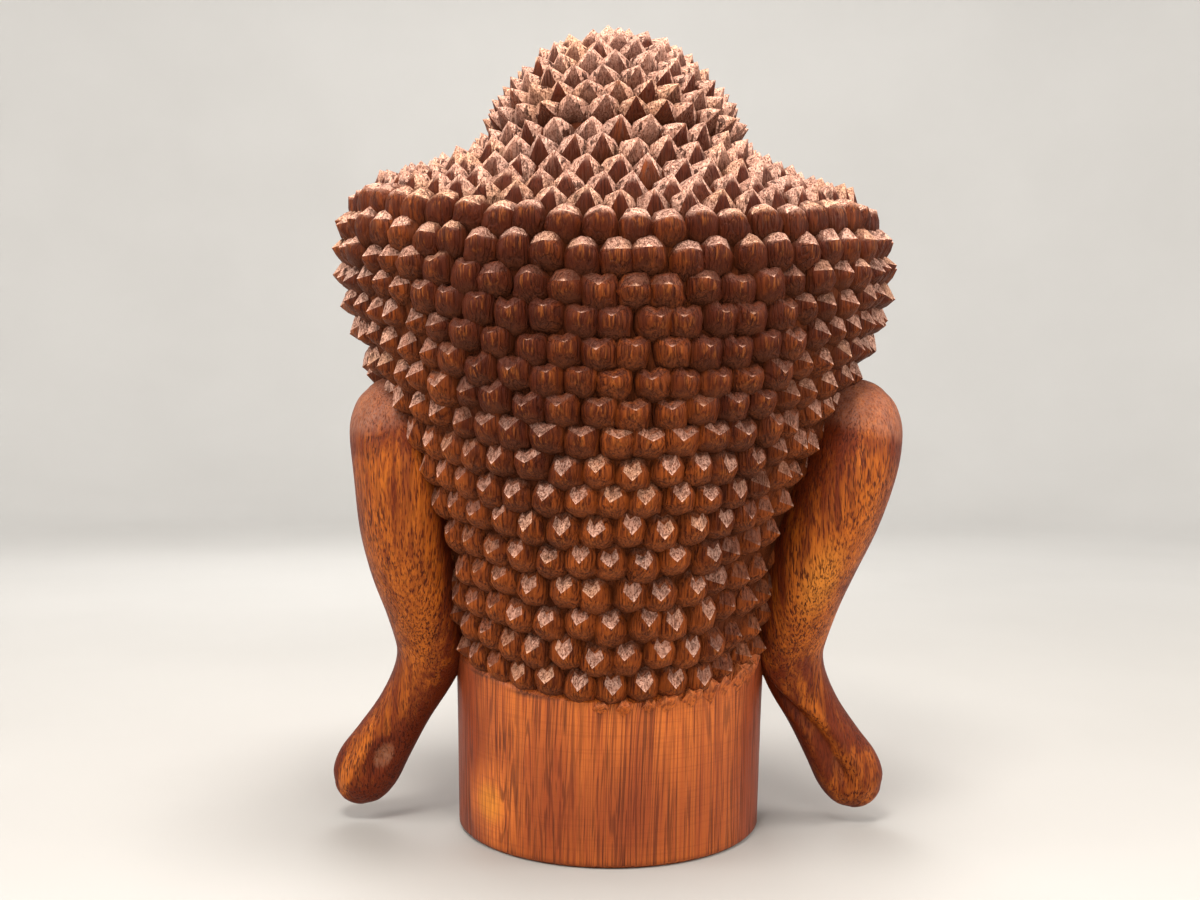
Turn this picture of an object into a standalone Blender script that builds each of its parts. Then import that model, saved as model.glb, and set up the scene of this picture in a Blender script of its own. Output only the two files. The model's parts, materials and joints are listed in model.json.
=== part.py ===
"""A head carved from one log: pointed curls, a domed crown, long ear lobes and the neck it stands on.

Metres, +Z up. The face looks along -Y. The origin is the middle of the flat underside of the neck.
Shapes are given as shares of the overall height, so that the figure keeps its proportions.
"""
import math
import random
from collections import namedtuple

import bmesh
import bpy
from mathutils import Vector

# Overall height, from the underside of the neck to the tip of the topmost curl
HEIGHT = 0.500
# Sideways lean of the crown over the foot, as a share of the height
LEAN = -0.004
# Slant of the hair rows: rise across the head for each unit of width
HAIR_SLANT = 0.028

# Curls: spacing along a row, how far a tip stands out, how deep the gouged valleys run
CURL_SPACING = 0.038 * HEIGHT
CURL_DEPTH = 0.022 * HEIGHT
VALLEY_CUT = 0.003 * HEIGHT
CURL_DRIFT = 0.10
CARVING_SEED = 11

# Eased edge around the underside of the neck
FOOT_EASE = 0.002

# Mesh density of the skin: columns over the face, columns over the nape
FACE_COLUMNS = 26
NAPE_COLUMNS = 14
EAR_SIDES = 12

# One row of curl tips: reach and height of the row at the back, at the sides and at the front
HairRow = namedtuple("HairRow", "row back back_z side side_z front front_z")
HAIR_ROWS = [
    HairRow(-1, 0.194, 0.168, 0.196, 0.200, 0.200, 0.200),
    HairRow(0, 0.206, 0.201, 0.208, 0.234, 0.210, 0.240),
    HairRow(3, 0.240, 0.310, 0.230, 0.344, 0.226, 0.360),
    HairRow(6, 0.276, 0.414, 0.264, 0.452, 0.246, 0.470),
    HairRow(9, 0.292, 0.510, 0.314, 0.564, 0.268, 0.592),
    HairRow(12, 0.298, 0.606, 0.348, 0.666, 0.284, 0.676),
    HairRow(14, 0.294, 0.676, 0.347, 0.732, 0.284, 0.732),
    HairRow(15, 0.286, 0.714, 0.328, 0.768, 0.277, 0.764),
    HairRow(16, 0.272, 0.742, 0.301, 0.794, 0.262, 0.790),
    HairRow(18, 0.220, 0.788, 0.240, 0.815, 0.218, 0.812),
    HairRow(20, 0.182, 0.838, 0.182, 0.841, 0.182, 0.841),
    HairRow(22, 0.161, 0.885, 0.161, 0.886, 0.161, 0.886),
    HairRow(24, 0.130, 0.928, 0.130, 0.928, 0.130, 0.928),
    HairRow(26, 0.080, 0.970, 0.080, 0.970, 0.080, 0.970),
    HairRow(28, 0.000, 1.000, 0.000, 1.000, 0.000, 1.000),
]
TOP_ROW = 28
WIDEST_ROW = 12

# Lowest row of hair by angle from the back: nape, then up behind the ears, then over the brow
Hairline = namedtuple("Hairline", "degrees row")
HAIRLINE = [
    Hairline(0, -0.6), Hairline(68, -0.6), Hairline(80, 8.0), Hairline(100, 8.4),
    Hairline(135, 9.5), Hairline(180, 10.3),
]

# Angle that one curl takes up at the nape
CURL_DEGREES = 9.0
# Distance from the edge of the hair to its border row and on to the full rows, counted in curls
BORDER_INSET = 0.6
FULL_ROW_INSET = 1.25

# One level of the bare wood: reach and height at the front, the sides and the back
SkinLevel = namedtuple("SkinLevel", "steps front front_z side side_z back back_z")
SKIN_LEVELS = [
    SkinLevel(0, 0.188, 0.004, 0.188, 0.004, 0.188, 0.004),
    SkinLevel(2, 0.193, 0.172, 0.193, 0.196, 0.193, 0.180),
    SkinLevel(1, 0.240, 0.184, 0.200, 0.232, 0.184, 0.226),
    SkinLevel(2, 0.262, 0.210, 0.210, 0.262, 0.190, 0.256),
    SkinLevel(6, 0.266, 0.286, 0.226, 0.326, 0.208, 0.312),
    SkinLevel(5, 0.269, 0.352, 0.242, 0.386, 0.230, 0.384),
    SkinLevel(6, 0.264, 0.450, 0.262, 0.464, 0.248, 0.464),
    SkinLevel(5, 0.272, 0.512, 0.272, 0.524, 0.258, 0.520),
    SkinLevel(4, 0.272, 0.580, 0.282, 0.576, 0.262, 0.576),
    SkinLevel(1, 0.258, 0.648, 0.296, 0.640, 0.264, 0.640),
    SkinLevel(1, 0.200, 0.740, 0.240, 0.740, 0.200, 0.725),
]

# Fullness of the cheeks in plan: 1 is an oval, less is squarer
FACE_FULLNESS = 0.88
# How far the wood behind the ears and over the nape is drawn in, so that the curls stand clear of it
NAPE_TUCK = 0.07

# One station of an ear, from its crown to the tip of the lobe: middle, half width, half depth
EarStation = namedtuple("EarStation", "reach z middle_y half_width half_depth hollow")
EAR_STATIONS = [
    EarStation(0.288, 0.549, 0.080, 0.018, 0.020, 0.00),
    EarStation(0.284, 0.538, 0.076, 0.038, 0.044, 0.00),
    EarStation(0.277, 0.516, 0.070, 0.054, 0.070, 0.20),
    EarStation(0.269, 0.484, 0.066, 0.062, 0.088, 0.42),
    EarStation(0.259, 0.438, 0.062, 0.065, 0.098, 0.48),
    EarStation(0.249, 0.386, 0.058, 0.064, 0.097, 0.46),
    EarStation(0.237, 0.332, 0.054, 0.058, 0.088, 0.38),
    EarStation(0.225, 0.276, 0.048, 0.050, 0.070, 0.26),
    EarStation(0.219, 0.230, 0.040, 0.046, 0.052, 0.12),
    EarStation(0.229, 0.190, 0.032, 0.038, 0.040, 0.00),
    EarStation(0.250, 0.146, 0.026, 0.034, 0.034, 0.00),
    EarStation(0.273, 0.104, 0.022, 0.037, 0.032, 0.00),
    EarStation(0.293, 0.070, 0.018, 0.041, 0.030, 0.00),
    EarStation(0.308, 0.046, 0.016, 0.036, 0.026, 0.00),
    EarStation(0.318, 0.031, 0.015, 0.022, 0.016, 0.00),
]
# The two ears differ a little: how much further each crown and each lobe reaches
EAR_CROWN_REACH = {"left": -0.014, "right": 0.017}
EAR_LOBE_REACH = {"left": 0.008, "right": 0.006}
# Scoop on the rear face of each lobe, as a share of its half depth
LOBE_SCOOP = 0.22

WOOD_COLOUR = (0.27, 0.088, 0.032, 1.0)
WOOD_ROUGHNESS = 0.45


def blend(low, high, share):
    """Value that lies the given share of the way from low to high."""
    return low + (high - low) * share


def ease(low, high, value):
    """Smooth step from 0 at low to 1 at high."""
    share = min(max((value - low) / (high - low), 0.0), 1.0)
    return share * share * (3.0 - 2.0 * share)


def bump(distance, width):
    """Smooth hill of height 1 that fades over the given width."""
    return math.exp(-(distance / width) ** 2)


def smooth_between(knots, values, at):
    """Cubic curve through the values at the knots."""
    last = len(knots) - 1
    at = min(max(at, knots[0]), knots[last])
    cell = 0
    while cell < last - 1 and at > knots[cell + 1]:
        cell += 1

    def slope(knot):
        before, after = max(knot - 1, 0), min(knot + 1, last)
        return (values[after] - values[before]) / (knots[after] - knots[before])

    span = knots[cell + 1] - knots[cell]
    t = (at - knots[cell]) / span
    return ((2 * t ** 3 - 3 * t ** 2 + 1) * values[cell]
            + (t ** 3 - 2 * t ** 2 + t) * span * slope(cell)
            + (3 * t ** 2 - 2 * t ** 3) * values[cell + 1]
            + (t ** 3 - t ** 2) * span * slope(cell + 1))


def lean_over(point):
    """Shift a point sideways with its height, as the whole carving leans."""
    return Vector((point.x + LEAN * point.z, point.y, point.z))


def hair_point(row, angle):
    """Point of the surface that the curl tips touch; angle 0 is the back, half a turn the face."""
    knots = [level.row for level in HAIR_ROWS]
    side = smooth_between(knots, [level.side for level in HAIR_ROWS], row)
    side_z = smooth_between(knots, [level.side_z for level in HAIR_ROWS], row)
    if math.cos(angle) > 0.0:
        reach = smooth_between(knots, [level.back for level in HAIR_ROWS], row)
        end_z = smooth_between(knots, [level.back_z for level in HAIR_ROWS], row)
    else:
        reach = smooth_between(knots, [level.front for level in HAIR_ROWS], row)
        end_z = smooth_between(knots, [level.front_z for level in HAIR_ROWS], row)
    across = side * math.sin(angle)
    height = blend(side_z, end_z, math.cos(angle) ** 2)
    height += HAIR_SLANT * across * ease(2, 12, row)
    return HEIGHT * Vector((across, reach * math.cos(angle), height))


def hair_normal(row, angle):
    """Outward direction of the hair surface."""
    step = 0.05
    if row > TOP_ROW - step:
        return Vector((0.0, 0.0, 1.0))
    along = hair_point(row, angle + step) - hair_point(row, angle - step)
    up = hair_point(row + step, angle) - hair_point(row - step, angle)
    return up.cross(along).normalized()


def edge_row(angle, inset):
    """Row of the line that keeps an inset, counted in curls, from the lower edge of the hair."""
    degrees = abs(math.degrees(math.remainder(angle, math.tau))) + inset * CURL_DEGREES
    for low, high in zip(HAIRLINE, HAIRLINE[1:]):
        if degrees <= high.degrees:
            share = (degrees - low.degrees) / (high.degrees - low.degrees)
            return blend(low.row, high.row, share) + inset
    return HAIRLINE[-1].row + inset


def row_latitudes():
    """Latitude on a sphere for each row, so that the spacing of curls keeps its proportions there."""
    ordinate = {WIDEST_ROW: 0.0}
    for row in range(WIDEST_ROW, TOP_ROW):
        ordinate[row + 1] = ordinate[row] + row_stride(row)
    for row in range(WIDEST_ROW, -1, -1):
        ordinate[row - 1] = ordinate[row] - row_stride(row - 1)
    return {row: math.atan(math.sinh(value)) for row, value in ordinate.items()}


def row_stride(row):
    """Distance from a row to the next one, as a share of the radius between them."""
    quarter = math.pi / 4
    here, above = hair_point(row, quarter), hair_point(row + 1, quarter)
    radius = 0.5 * (here.xy.length + above.xy.length)
    return (above - here).length / radius


def latitude_at(latitudes, row):
    """Latitude of a row that may lie between two whole ones."""
    low = min(int(math.floor(row)), TOP_ROW - 1)
    return blend(latitudes[low], latitudes[low + 1], row - low)


def track_lengths(track):
    """Distance travelled along a track of rows and angles, at each of its points."""
    points = [hair_point(row, angle) for row, angle in track]
    lengths = [0.0]
    for near, far in zip(points, points[1:]):
        lengths.append(lengths[-1] + (far - near).length)
    return lengths


def evenly_along(track, count, start):
    """Rows and angles that part a track into equal lengths, from a start in shares of one length."""
    lengths = track_lengths(track)
    found = []
    for index in range(count):
        wanted = lengths[-1] * (((index + start) / count) % 1.0)
        cell = max(k for k in range(len(track) - 1) if lengths[k] <= wanted)
        share = (wanted - lengths[cell]) / (lengths[cell + 1] - lengths[cell])
        (row, angle), (next_row, next_angle) = track[cell], track[cell + 1]
        found.append((blend(row, next_row, share), blend(angle, next_angle, share)))
    return found


def border_places(drift):
    """Curls of the border row, which keeps an even distance from the lower edge of the hair."""
    samples = 360
    angles = [math.tau * k / samples for k in range(samples + 1)]
    track = [(edge_row(angle, BORDER_INSET), angle) for angle in angles]
    count = round(track_lengths(track)[-1] / CURL_SPACING)
    return [(row + drift.uniform(-CURL_DRIFT, CURL_DRIFT), angle)
            for row, angle in evenly_along(track, count, 0.0)]


def curl_places():
    """Row and angle of every curl, staggered from row to row and a little uneven."""
    drift = random.Random(CARVING_SEED)
    places = [(float(TOP_ROW), 0.0)] + border_places(drift)
    samples = 180
    for row in range(1, TOP_ROW):
        track = [(row, math.tau * k / samples) for k in range(samples + 1)]
        count = max(5, round(track_lengths(track)[-1] / CURL_SPACING))
        for _, angle in evenly_along(track, count, 0.5 * (row % 2)):
            if row < edge_row(angle, FULL_ROW_INSET):
                continue
            slip = drift.uniform(-CURL_DRIFT, CURL_DRIFT) * math.tau / count
            places.append((row + drift.uniform(-CURL_DRIFT, CURL_DRIFT), angle + slip))
    return places


def hairline_places():
    """Row and angle of the points along the lower edge of the hair."""
    count = 72
    return [(edge_row(math.tau * k / count, 0.0), math.tau * k / count) for k in range(count)]


def net_over_sphere(directions):
    """Triangles that join neighbouring directions on a sphere."""
    net = bmesh.new()
    for direction in directions:
        net.verts.new(direction)
    net.verts.index_update()
    bmesh.ops.convex_hull(net, input=net.verts[:])
    bmesh.ops.triangulate(net, faces=net.faces[:])
    net.normal_update()
    triangles = []
    for face in net.faces:
        corners = [vert.index for vert in face.verts]
        outward = face.normal.dot(face.calc_center_median()) > 0.0
        triangles.append(tuple(corners) if outward else tuple(reversed(corners)))
    net.free()
    return triangles


def build_hair():
    """One closed body whose surface rises to a tip at each curl and falls to gouged valleys between."""
    curls = curl_places()
    edge = hairline_places()
    latitudes = row_latitudes()
    directions = []
    for row, angle in curls + edge:
        latitude = latitude_at(latitudes, min(row, TOP_ROW))
        if row >= TOP_ROW:
            latitude = math.pi / 2
        flat = math.cos(latitude)
        directions.append(Vector((math.sin(angle) * flat, math.cos(angle) * flat, math.sin(latitude))))

    variation = random.Random(CARVING_SEED + 1)
    bases, points = [], []
    for row, angle in curls + edge:
        row = min(row, float(TOP_ROW))
        tip, outward = hair_point(row, angle), hair_normal(row, angle)
        bases.append(tip - outward * CURL_DEPTH)
        points.append(tip - outward * CURL_DEPTH * variation.uniform(0.0, 0.12))
    points[0] = hair_point(TOP_ROW, 0.0)
    for index in range(len(curls), len(points)):
        points[index] = bases[index] * 0.985

    centre_of, triangles = {}, net_over_sphere(directions)
    faces = []
    for triangle in triangles:
        if min(triangle) >= len(curls):
            faces.append(triangle)
            continue
        middle = sum((bases[corner] for corner in triangle), Vector()) / 3
        outward = (bases[triangle[1]] - bases[triangle[0]]).cross(bases[triangle[2]] - bases[triangle[0]])
        centre_of[triangle] = len(points)
        points.append(middle - outward.normalized() * VALLEY_CUT)

    owner = {}
    for triangle in triangles:
        for a, b in zip(triangle, triangle[1:] + triangle[:1]):
            owner[a, b] = triangle
    for (a, b), triangle in owner.items():
        across = owner[b, a]
        if triangle not in centre_of:
            continue
        near = centre_of[triangle]
        both_curls = max(a, b) < len(curls)
        if not both_curls:
            faces.append((a, b, near))
        elif a < b:
            far = centre_of[across]
            faces.append((a, far, near))
            faces.append((b, near, far))
    return [lean_over(point) for point in points], faces


def skin_level(position):
    """Reach and height of the bare wood between two levels, for a position counted in levels."""
    knots = list(range(len(SKIN_LEVELS)))
    return [smooth_between(knots, [getattr(level, name) for level in SKIN_LEVELS], position)
            for name in ("front", "front_z", "side", "side_z", "back", "back_z")]


def face_relief(x, z):
    """How far the features stand forward of the plain face; x and z are shares of the height."""
    side = abs(x)
    down = min(max((0.512 - z) / 0.150, 0.0), 1.0)
    nose = blend(0.014, 0.056, down ** 1.2) * ease(0.336, 0.368, z) * (1.0 - ease(0.502, 0.534, z))
    nose *= bump(x, blend(0.018, 0.031, down))
    nose_tip = 0.005 * bump(x, 0.020) * bump(z - 0.370, 0.018)
    wings = 0.026 * bump(side - 0.034, 0.014) * bump(z - 0.362, 0.015)
    arch = math.sin(math.pi * min(max((side - 0.012) / 0.19, 0.0), 1.0))
    brow = 0.015 * bump(z - 0.508 - 0.030 * arch, 0.012)
    brow *= ease(0.004, 0.03, side) * (1.0 - ease(0.17, 0.21, side))
    socket = -0.024 * bump(side - 0.094, 0.060) * bump(z - 0.478, 0.026)
    lid = 0.026 * bump(side - 0.096, 0.046) * bump(z - 0.452, 0.020)
    lid_line = -0.012 * bump(side - 0.096, 0.048) * bump(z - 0.430, 0.007)
    cheek = 0.010 * bump(side - 0.125, 0.060) * bump(z - 0.370, 0.060)
    upper_lip = 0.020 * bump(x, 0.046) * bump(z - 0.305, 0.010)
    lower_lip = 0.023 * bump(x, 0.038) * bump(z - 0.279, 0.011)
    mouth = -0.015 * bump(x, 0.062) * bump(z - 0.292 - 0.006 * (side / 0.06) ** 2, 0.006)
    chin = 0.020 * bump(x, 0.052) * bump(z - 0.224, 0.028)
    chin_fold = -0.008 * bump(x, 0.050) * bump(z - 0.255, 0.010)
    return (nose + nose_tip + wings + brow + socket + lid + lid_line + cheek
            + upper_lip + lower_lip + mouth + chin + chin_fold)


def skin_point(position, angle):
    """Point of the bare wood; angle 0 is the middle of the face."""
    front, front_z, side, side_z, back, back_z = skin_level(position)
    facing = math.cos(angle)
    reach, end_z = (front, front_z) if facing > 0.0 else (back, back_z)
    height = blend(side_z, end_z, facing ** 2)
    fullness = blend(1.0, FACE_FULLNESS, ease(0.19, 0.25, height) * (1.0 - ease(0.42, 0.54, height)))
    x = side * math.copysign(abs(math.sin(angle)) ** fullness, math.sin(angle))
    y = -reach * facing
    if facing > 0.0:
        y = -reach * facing ** fullness
        y -= face_relief(x, height) * ease(0.0, 0.5, facing) * ease(0.186, 0.206, height)
    drawn_in = 1.0 - NAPE_TUCK * ease(0.16, 0.36, -facing) * ease(0.20, 0.26, height)
    return lean_over(HEIGHT * Vector((x * drawn_in, y * drawn_in, height)))


def skin_angles():
    """Angles of the columns, closer together over the nose and wider over the nape."""
    half = FACE_COLUMNS // 2
    face_edge = math.radians(75)
    face = [face_edge * (k / half) ** 1.2 for k in range(half + 1)]
    nape = [blend(face_edge, math.pi, k / (NAPE_COLUMNS // 2)) for k in range(1, NAPE_COLUMNS // 2)]
    half_turn = face + nape
    return [-angle for angle in reversed(half_turn[1:])] + half_turn + [math.pi]


def ring_faces(rings, columns):
    """Quads between rings of points that are numbered one ring after another."""
    faces = []
    for ring in range(rings - 1):
        for k in range(columns):
            after = (k + 1) % columns
            low, high = ring * columns, (ring + 1) * columns
            faces.append((low + k, low + after, high + after, high + k))
    return faces


def build_skin():
    """Neck, jaw, face and the core under the hair, as rings of points closed below and above."""
    angles = skin_angles()
    foot = SKIN_LEVELS[0]
    rings = [[lean_over(Vector(((foot.side * HEIGHT - FOOT_EASE) * math.sin(angle),
                                -(foot.front * HEIGHT - FOOT_EASE) * math.cos(angle), 0.0)))
              for angle in angles]]
    for level in range(1, len(SKIN_LEVELS)):
        steps = SKIN_LEVELS[level].steps
        if level == 1:
            rings.append([skin_point(0.0, angle) for angle in angles])
        for step in range(1, steps + 1):
            rings.append([skin_point(level - 1 + step / steps, angle) for angle in angles])
    points = [point for ring in rings for point in ring]
    columns = len(angles)
    faces = ring_faces(len(rings), columns)
    faces.append(tuple(reversed(range(columns))))
    faces.append(tuple(range(len(points) - columns, len(points))))
    return points, faces


def ear_station(position):
    """Station of the ear between two listed ones."""
    knots = list(range(len(EAR_STATIONS)))
    return EarStation(*[smooth_between(knots, [getattr(station, name) for station in EAR_STATIONS], position)
                        for name in EarStation._fields])


def build_ear(side):
    """One ear: rounded sections along a line from its crown down to the tip of the lobe."""
    sign = 1.0 if side == "left" else -1.0
    last = len(EAR_STATIONS) - 1
    points = []
    for number in range(last + 1):
        station = ear_station(number)
        ahead, behind = ear_station(min(number + 0.5, last)), ear_station(max(number - 0.5, 0))
        lobe_share = ease(0.24, 0.06, station.z)
        reach = station.reach + blend(EAR_CROWN_REACH[side] * ease(0.30, 0.48, station.z),
                                      EAR_LOBE_REACH[side], lobe_share)
        along = Vector((ahead.reach - behind.reach, 0.0, ahead.z - behind.z)).normalized()
        across = Vector((-along.z, 0.0, along.x))
        middle = Vector((reach, station.middle_y, station.z))
        scoop = LOBE_SCOOP * ease(0.20, 0.16, station.z) * ease(0.05, 0.07, station.z)
        for k in range(EAR_SIDES):
            turn = math.tau * k / EAR_SIDES
            outward, rearward = math.cos(turn), math.sin(turn)
            hollow = 1.0 - station.hollow * bump(turn - math.radians(315), math.radians(32))
            hollow -= scoop * bump(turn - math.radians(105), math.radians(30))
            point = (middle + across * station.half_width * outward * hollow
                     + Vector((0.0, station.half_depth * rearward * hollow, 0.0)))
            point.x *= sign
            points.append(lean_over(point * HEIGHT))
    faces = ring_faces(last + 1, EAR_SIDES)
    faces.append(tuple(reversed(range(EAR_SIDES))))
    faces.append(tuple(range(len(points) - EAR_SIDES, len(points))))
    return points, faces


def make_object(name, points, faces, collection):
    """Closed mesh object whose faces point outwards."""
    mesh = bpy.data.meshes.new(name)
    mesh.from_pydata([tuple(point) for point in points], [], faces)
    form = bmesh.new()
    form.from_mesh(mesh)
    bmesh.ops.recalc_face_normals(form, faces=form.faces[:])
    form.to_mesh(mesh)
    form.free()
    thing = bpy.data.objects.new(name, mesh)
    collection.objects.link(thing)
    return thing


def make_wood():
    """Oiled red-brown hardwood."""
    wood = bpy.data.materials.new("oiled_hardwood")
    wood.use_nodes = True
    shader = wood.node_tree.nodes["Principled BSDF"]
    shader.inputs["Base Color"].default_value = WOOD_COLOUR
    shader.inputs["Roughness"].default_value = WOOD_ROUGHNESS
    shader.inputs["Metallic"].default_value = 0.0
    return wood


def new_collection(name):
    """Collection linked to the scene."""
    collection = bpy.data.collections.new(name)
    bpy.context.scene.collection.children.link(collection)
    return collection


def join_forms(body, forms):
    """Grow the body into each form by a union."""
    for form in forms:
        form.hide_render = True
        form.display_type = 'WIRE'
        union = body.modifiers.new("join_" + form.name, 'BOOLEAN')
        union.operation = 'UNION'
        union.solver = 'EXACT'
        union.object = form


def main():
    """Build the carved head."""
    for thing in list(bpy.data.objects):
        bpy.data.objects.remove(thing, do_unlink=True)
    carving = new_collection("carved_wood_head")
    forms = new_collection("joined_forms")
    head = make_object("carved_head", *build_skin(), carving)
    head.data.materials.append(make_wood())
    hair = make_object("hair_form", *build_hair(), forms)
    ears = [make_object(side + "_ear_form", *build_ear(side), forms) for side in ("left", "right")]
    join_forms(head, [hair] + ears)


main()
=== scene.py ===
"""Looks of a head carved from one log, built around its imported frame.

The hair is a field of chiselled curls that geometry nodes set over a domed scalp. The bare wood of neck
and face and the two long ears are swept from named sections. Metres, +Z up; the face looks along -Y.
Forms are given as shares of the overall height, as in the solid that they stand for.
"""
import json
import logging
import math
import random
from dataclasses import dataclass
from enum import Enum
from typing import NamedTuple, Sequence

import bmesh
import bpy
import numpy as np
from mathutils import Matrix, Vector

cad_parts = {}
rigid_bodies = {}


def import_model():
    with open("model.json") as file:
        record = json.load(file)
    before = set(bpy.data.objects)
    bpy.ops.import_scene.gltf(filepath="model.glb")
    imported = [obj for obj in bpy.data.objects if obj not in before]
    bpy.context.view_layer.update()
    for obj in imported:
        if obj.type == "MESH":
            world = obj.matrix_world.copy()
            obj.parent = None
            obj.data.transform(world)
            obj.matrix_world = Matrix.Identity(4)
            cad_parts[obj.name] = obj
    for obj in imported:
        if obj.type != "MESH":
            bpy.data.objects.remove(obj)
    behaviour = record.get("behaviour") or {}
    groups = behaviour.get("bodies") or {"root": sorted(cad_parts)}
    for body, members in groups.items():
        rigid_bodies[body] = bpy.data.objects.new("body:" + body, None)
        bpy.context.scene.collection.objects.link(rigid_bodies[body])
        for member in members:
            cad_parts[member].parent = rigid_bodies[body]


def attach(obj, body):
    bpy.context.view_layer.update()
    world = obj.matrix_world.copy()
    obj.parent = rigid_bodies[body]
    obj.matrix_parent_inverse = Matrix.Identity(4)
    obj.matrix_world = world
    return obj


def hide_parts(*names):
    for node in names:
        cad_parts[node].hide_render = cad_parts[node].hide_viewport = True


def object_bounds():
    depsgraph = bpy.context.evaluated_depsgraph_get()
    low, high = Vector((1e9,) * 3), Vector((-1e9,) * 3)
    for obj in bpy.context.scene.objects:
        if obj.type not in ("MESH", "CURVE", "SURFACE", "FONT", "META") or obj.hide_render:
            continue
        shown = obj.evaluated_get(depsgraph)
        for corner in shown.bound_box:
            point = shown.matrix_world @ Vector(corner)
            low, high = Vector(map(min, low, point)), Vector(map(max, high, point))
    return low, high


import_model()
CAD_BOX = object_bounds()

LOG = logging.getLogger("carved_head")
CAD_NODE = "carved_head"
BODY = "root"

HEIGHT = 0.500
LEAN = -0.004
HAIR_SLANT = 0.028
TONE = "wood_tone"
TIP = "tip_share"
CUT = "cut_facet"
PALE = "paleness"
CALM = "calm_grain"

Section = tuple[np.ndarray, np.ndarray, np.ndarray]
Colour = tuple[float, float, float]
Stretch = tuple[float, float]
Socket = bpy.types.NodeSocket


def blend(low: float, high: float, share: float) -> float:
    """Value that lies the given share of the way from low to high."""
    return low + (high - low) * share


def ease(low: float, high: float, value: float | np.ndarray) -> float | np.ndarray:
    """Smooth step from 0 at low to 1 at high, for a number or an array."""
    share = np.clip((value - low) / (high - low), 0.0, 1.0)
    return share * share * (3.0 - 2.0 * share)


def bump(distance: float | np.ndarray, width: float) -> float | np.ndarray:
    """Smooth hill of height 1 that fades over the given width."""
    return np.exp(-(distance / width) ** 2)


def wrapped(angle: float | np.ndarray) -> float | np.ndarray:
    """Angle brought into the half turn on either side of zero."""
    return (angle + math.pi) % math.tau - math.pi


def smooth_between(values: Sequence[float], knots: Sequence[float], at: float) -> float:
    """Cubic curve through the values at the knots.

    Args:
        values: what the curve takes at each knot.
        knots: rising positions of the values.
        at: position that is asked for.

    Returns:
        The value of the curve there.
    """
    last = len(knots) - 1
    at = min(max(at, knots[0]), knots[last])
    cell = 0
    while cell < last - 1 and at > knots[cell + 1]:
        cell += 1
    slopes = []
    for knot in (cell, cell + 1):
        before, after = max(knot - 1, 0), min(knot + 1, last)
        slopes.append((values[after] - values[before]) / (knots[after] - knots[before]))
    span = knots[cell + 1] - knots[cell]
    t = (at - knots[cell]) / span
    return ((2 * t ** 3 - 3 * t ** 2 + 1) * values[cell] + (t ** 3 - 2 * t ** 2 + t) * span * slopes[0]
            + (3 * t ** 2 - 2 * t ** 3) * values[cell + 1] + (t ** 3 - t ** 2) * span * slopes[1])


def to_world(shares: np.ndarray) -> np.ndarray:
    """Points in shares of the height as metres, with the lean of the whole carving."""
    points = np.array(shares, float) * HEIGHT
    points[..., 0] += LEAN * points[..., 2]
    return points


def run_lengths(track: Sequence[Vector]) -> np.ndarray:
    """Length along a line of points up to each of them."""
    return np.concatenate([[0.0], np.cumsum([(far - near).length for near, far in zip(track, track[1:])])])


class HairRow(NamedTuple):
    """Reach and height of one row of curl tips at the back, the sides and the front."""

    row: float
    back: float
    back_z: float
    side: float
    side_z: float
    front: float
    front_z: float


class HairlineMark(NamedTuple):
    """Lowest row of hair at an angle from the back."""

    degrees: float
    row: float


class SkinLevel(NamedTuple):
    """Reach and height of one level of the bare wood, and how many rings lead up to it."""

    rings: int
    front: float
    front_z: float
    side: float
    side_z: float
    back: float
    back_z: float


class EarStation(NamedTuple):
    """One section of an ear: its middle, half width, half depth and the depth of its hollow."""

    reach: float
    z: float
    middle_y: float
    half_width: float
    half_depth: float
    hollow: float


HAIR_ROWS = (
    HairRow(-1, 0.194, 0.168, 0.196, 0.200, 0.200, 0.200),
    HairRow(0, 0.206, 0.201, 0.208, 0.234, 0.210, 0.240),
    HairRow(3, 0.240, 0.310, 0.230, 0.344, 0.226, 0.360),
    HairRow(6, 0.276, 0.414, 0.264, 0.452, 0.246, 0.470),
    HairRow(9, 0.292, 0.510, 0.314, 0.564, 0.268, 0.592),
    HairRow(12, 0.298, 0.606, 0.348, 0.666, 0.284, 0.676),
    HairRow(14, 0.294, 0.676, 0.347, 0.732, 0.284, 0.732),
    HairRow(15, 0.286, 0.714, 0.328, 0.768, 0.277, 0.764),
    HairRow(16, 0.272, 0.742, 0.301, 0.794, 0.262, 0.790),
    HairRow(18, 0.220, 0.788, 0.240, 0.815, 0.218, 0.812),
    HairRow(20, 0.182, 0.838, 0.182, 0.841, 0.182, 0.841),
    HairRow(22, 0.161, 0.885, 0.161, 0.886, 0.161, 0.886),
    HairRow(24, 0.130, 0.928, 0.130, 0.928, 0.130, 0.928),
    HairRow(26, 0.080, 0.970, 0.080, 0.970, 0.080, 0.970),
    HairRow(28, 0.000, 1.000, 0.000, 1.000, 0.000, 1.000),
)
HAIRLINE = (
    HairlineMark(0, -0.6), HairlineMark(68, -0.6), HairlineMark(80, 8.0), HairlineMark(100, 8.4),
    HairlineMark(135, 9.5), HairlineMark(180, 10.3),
)
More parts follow.
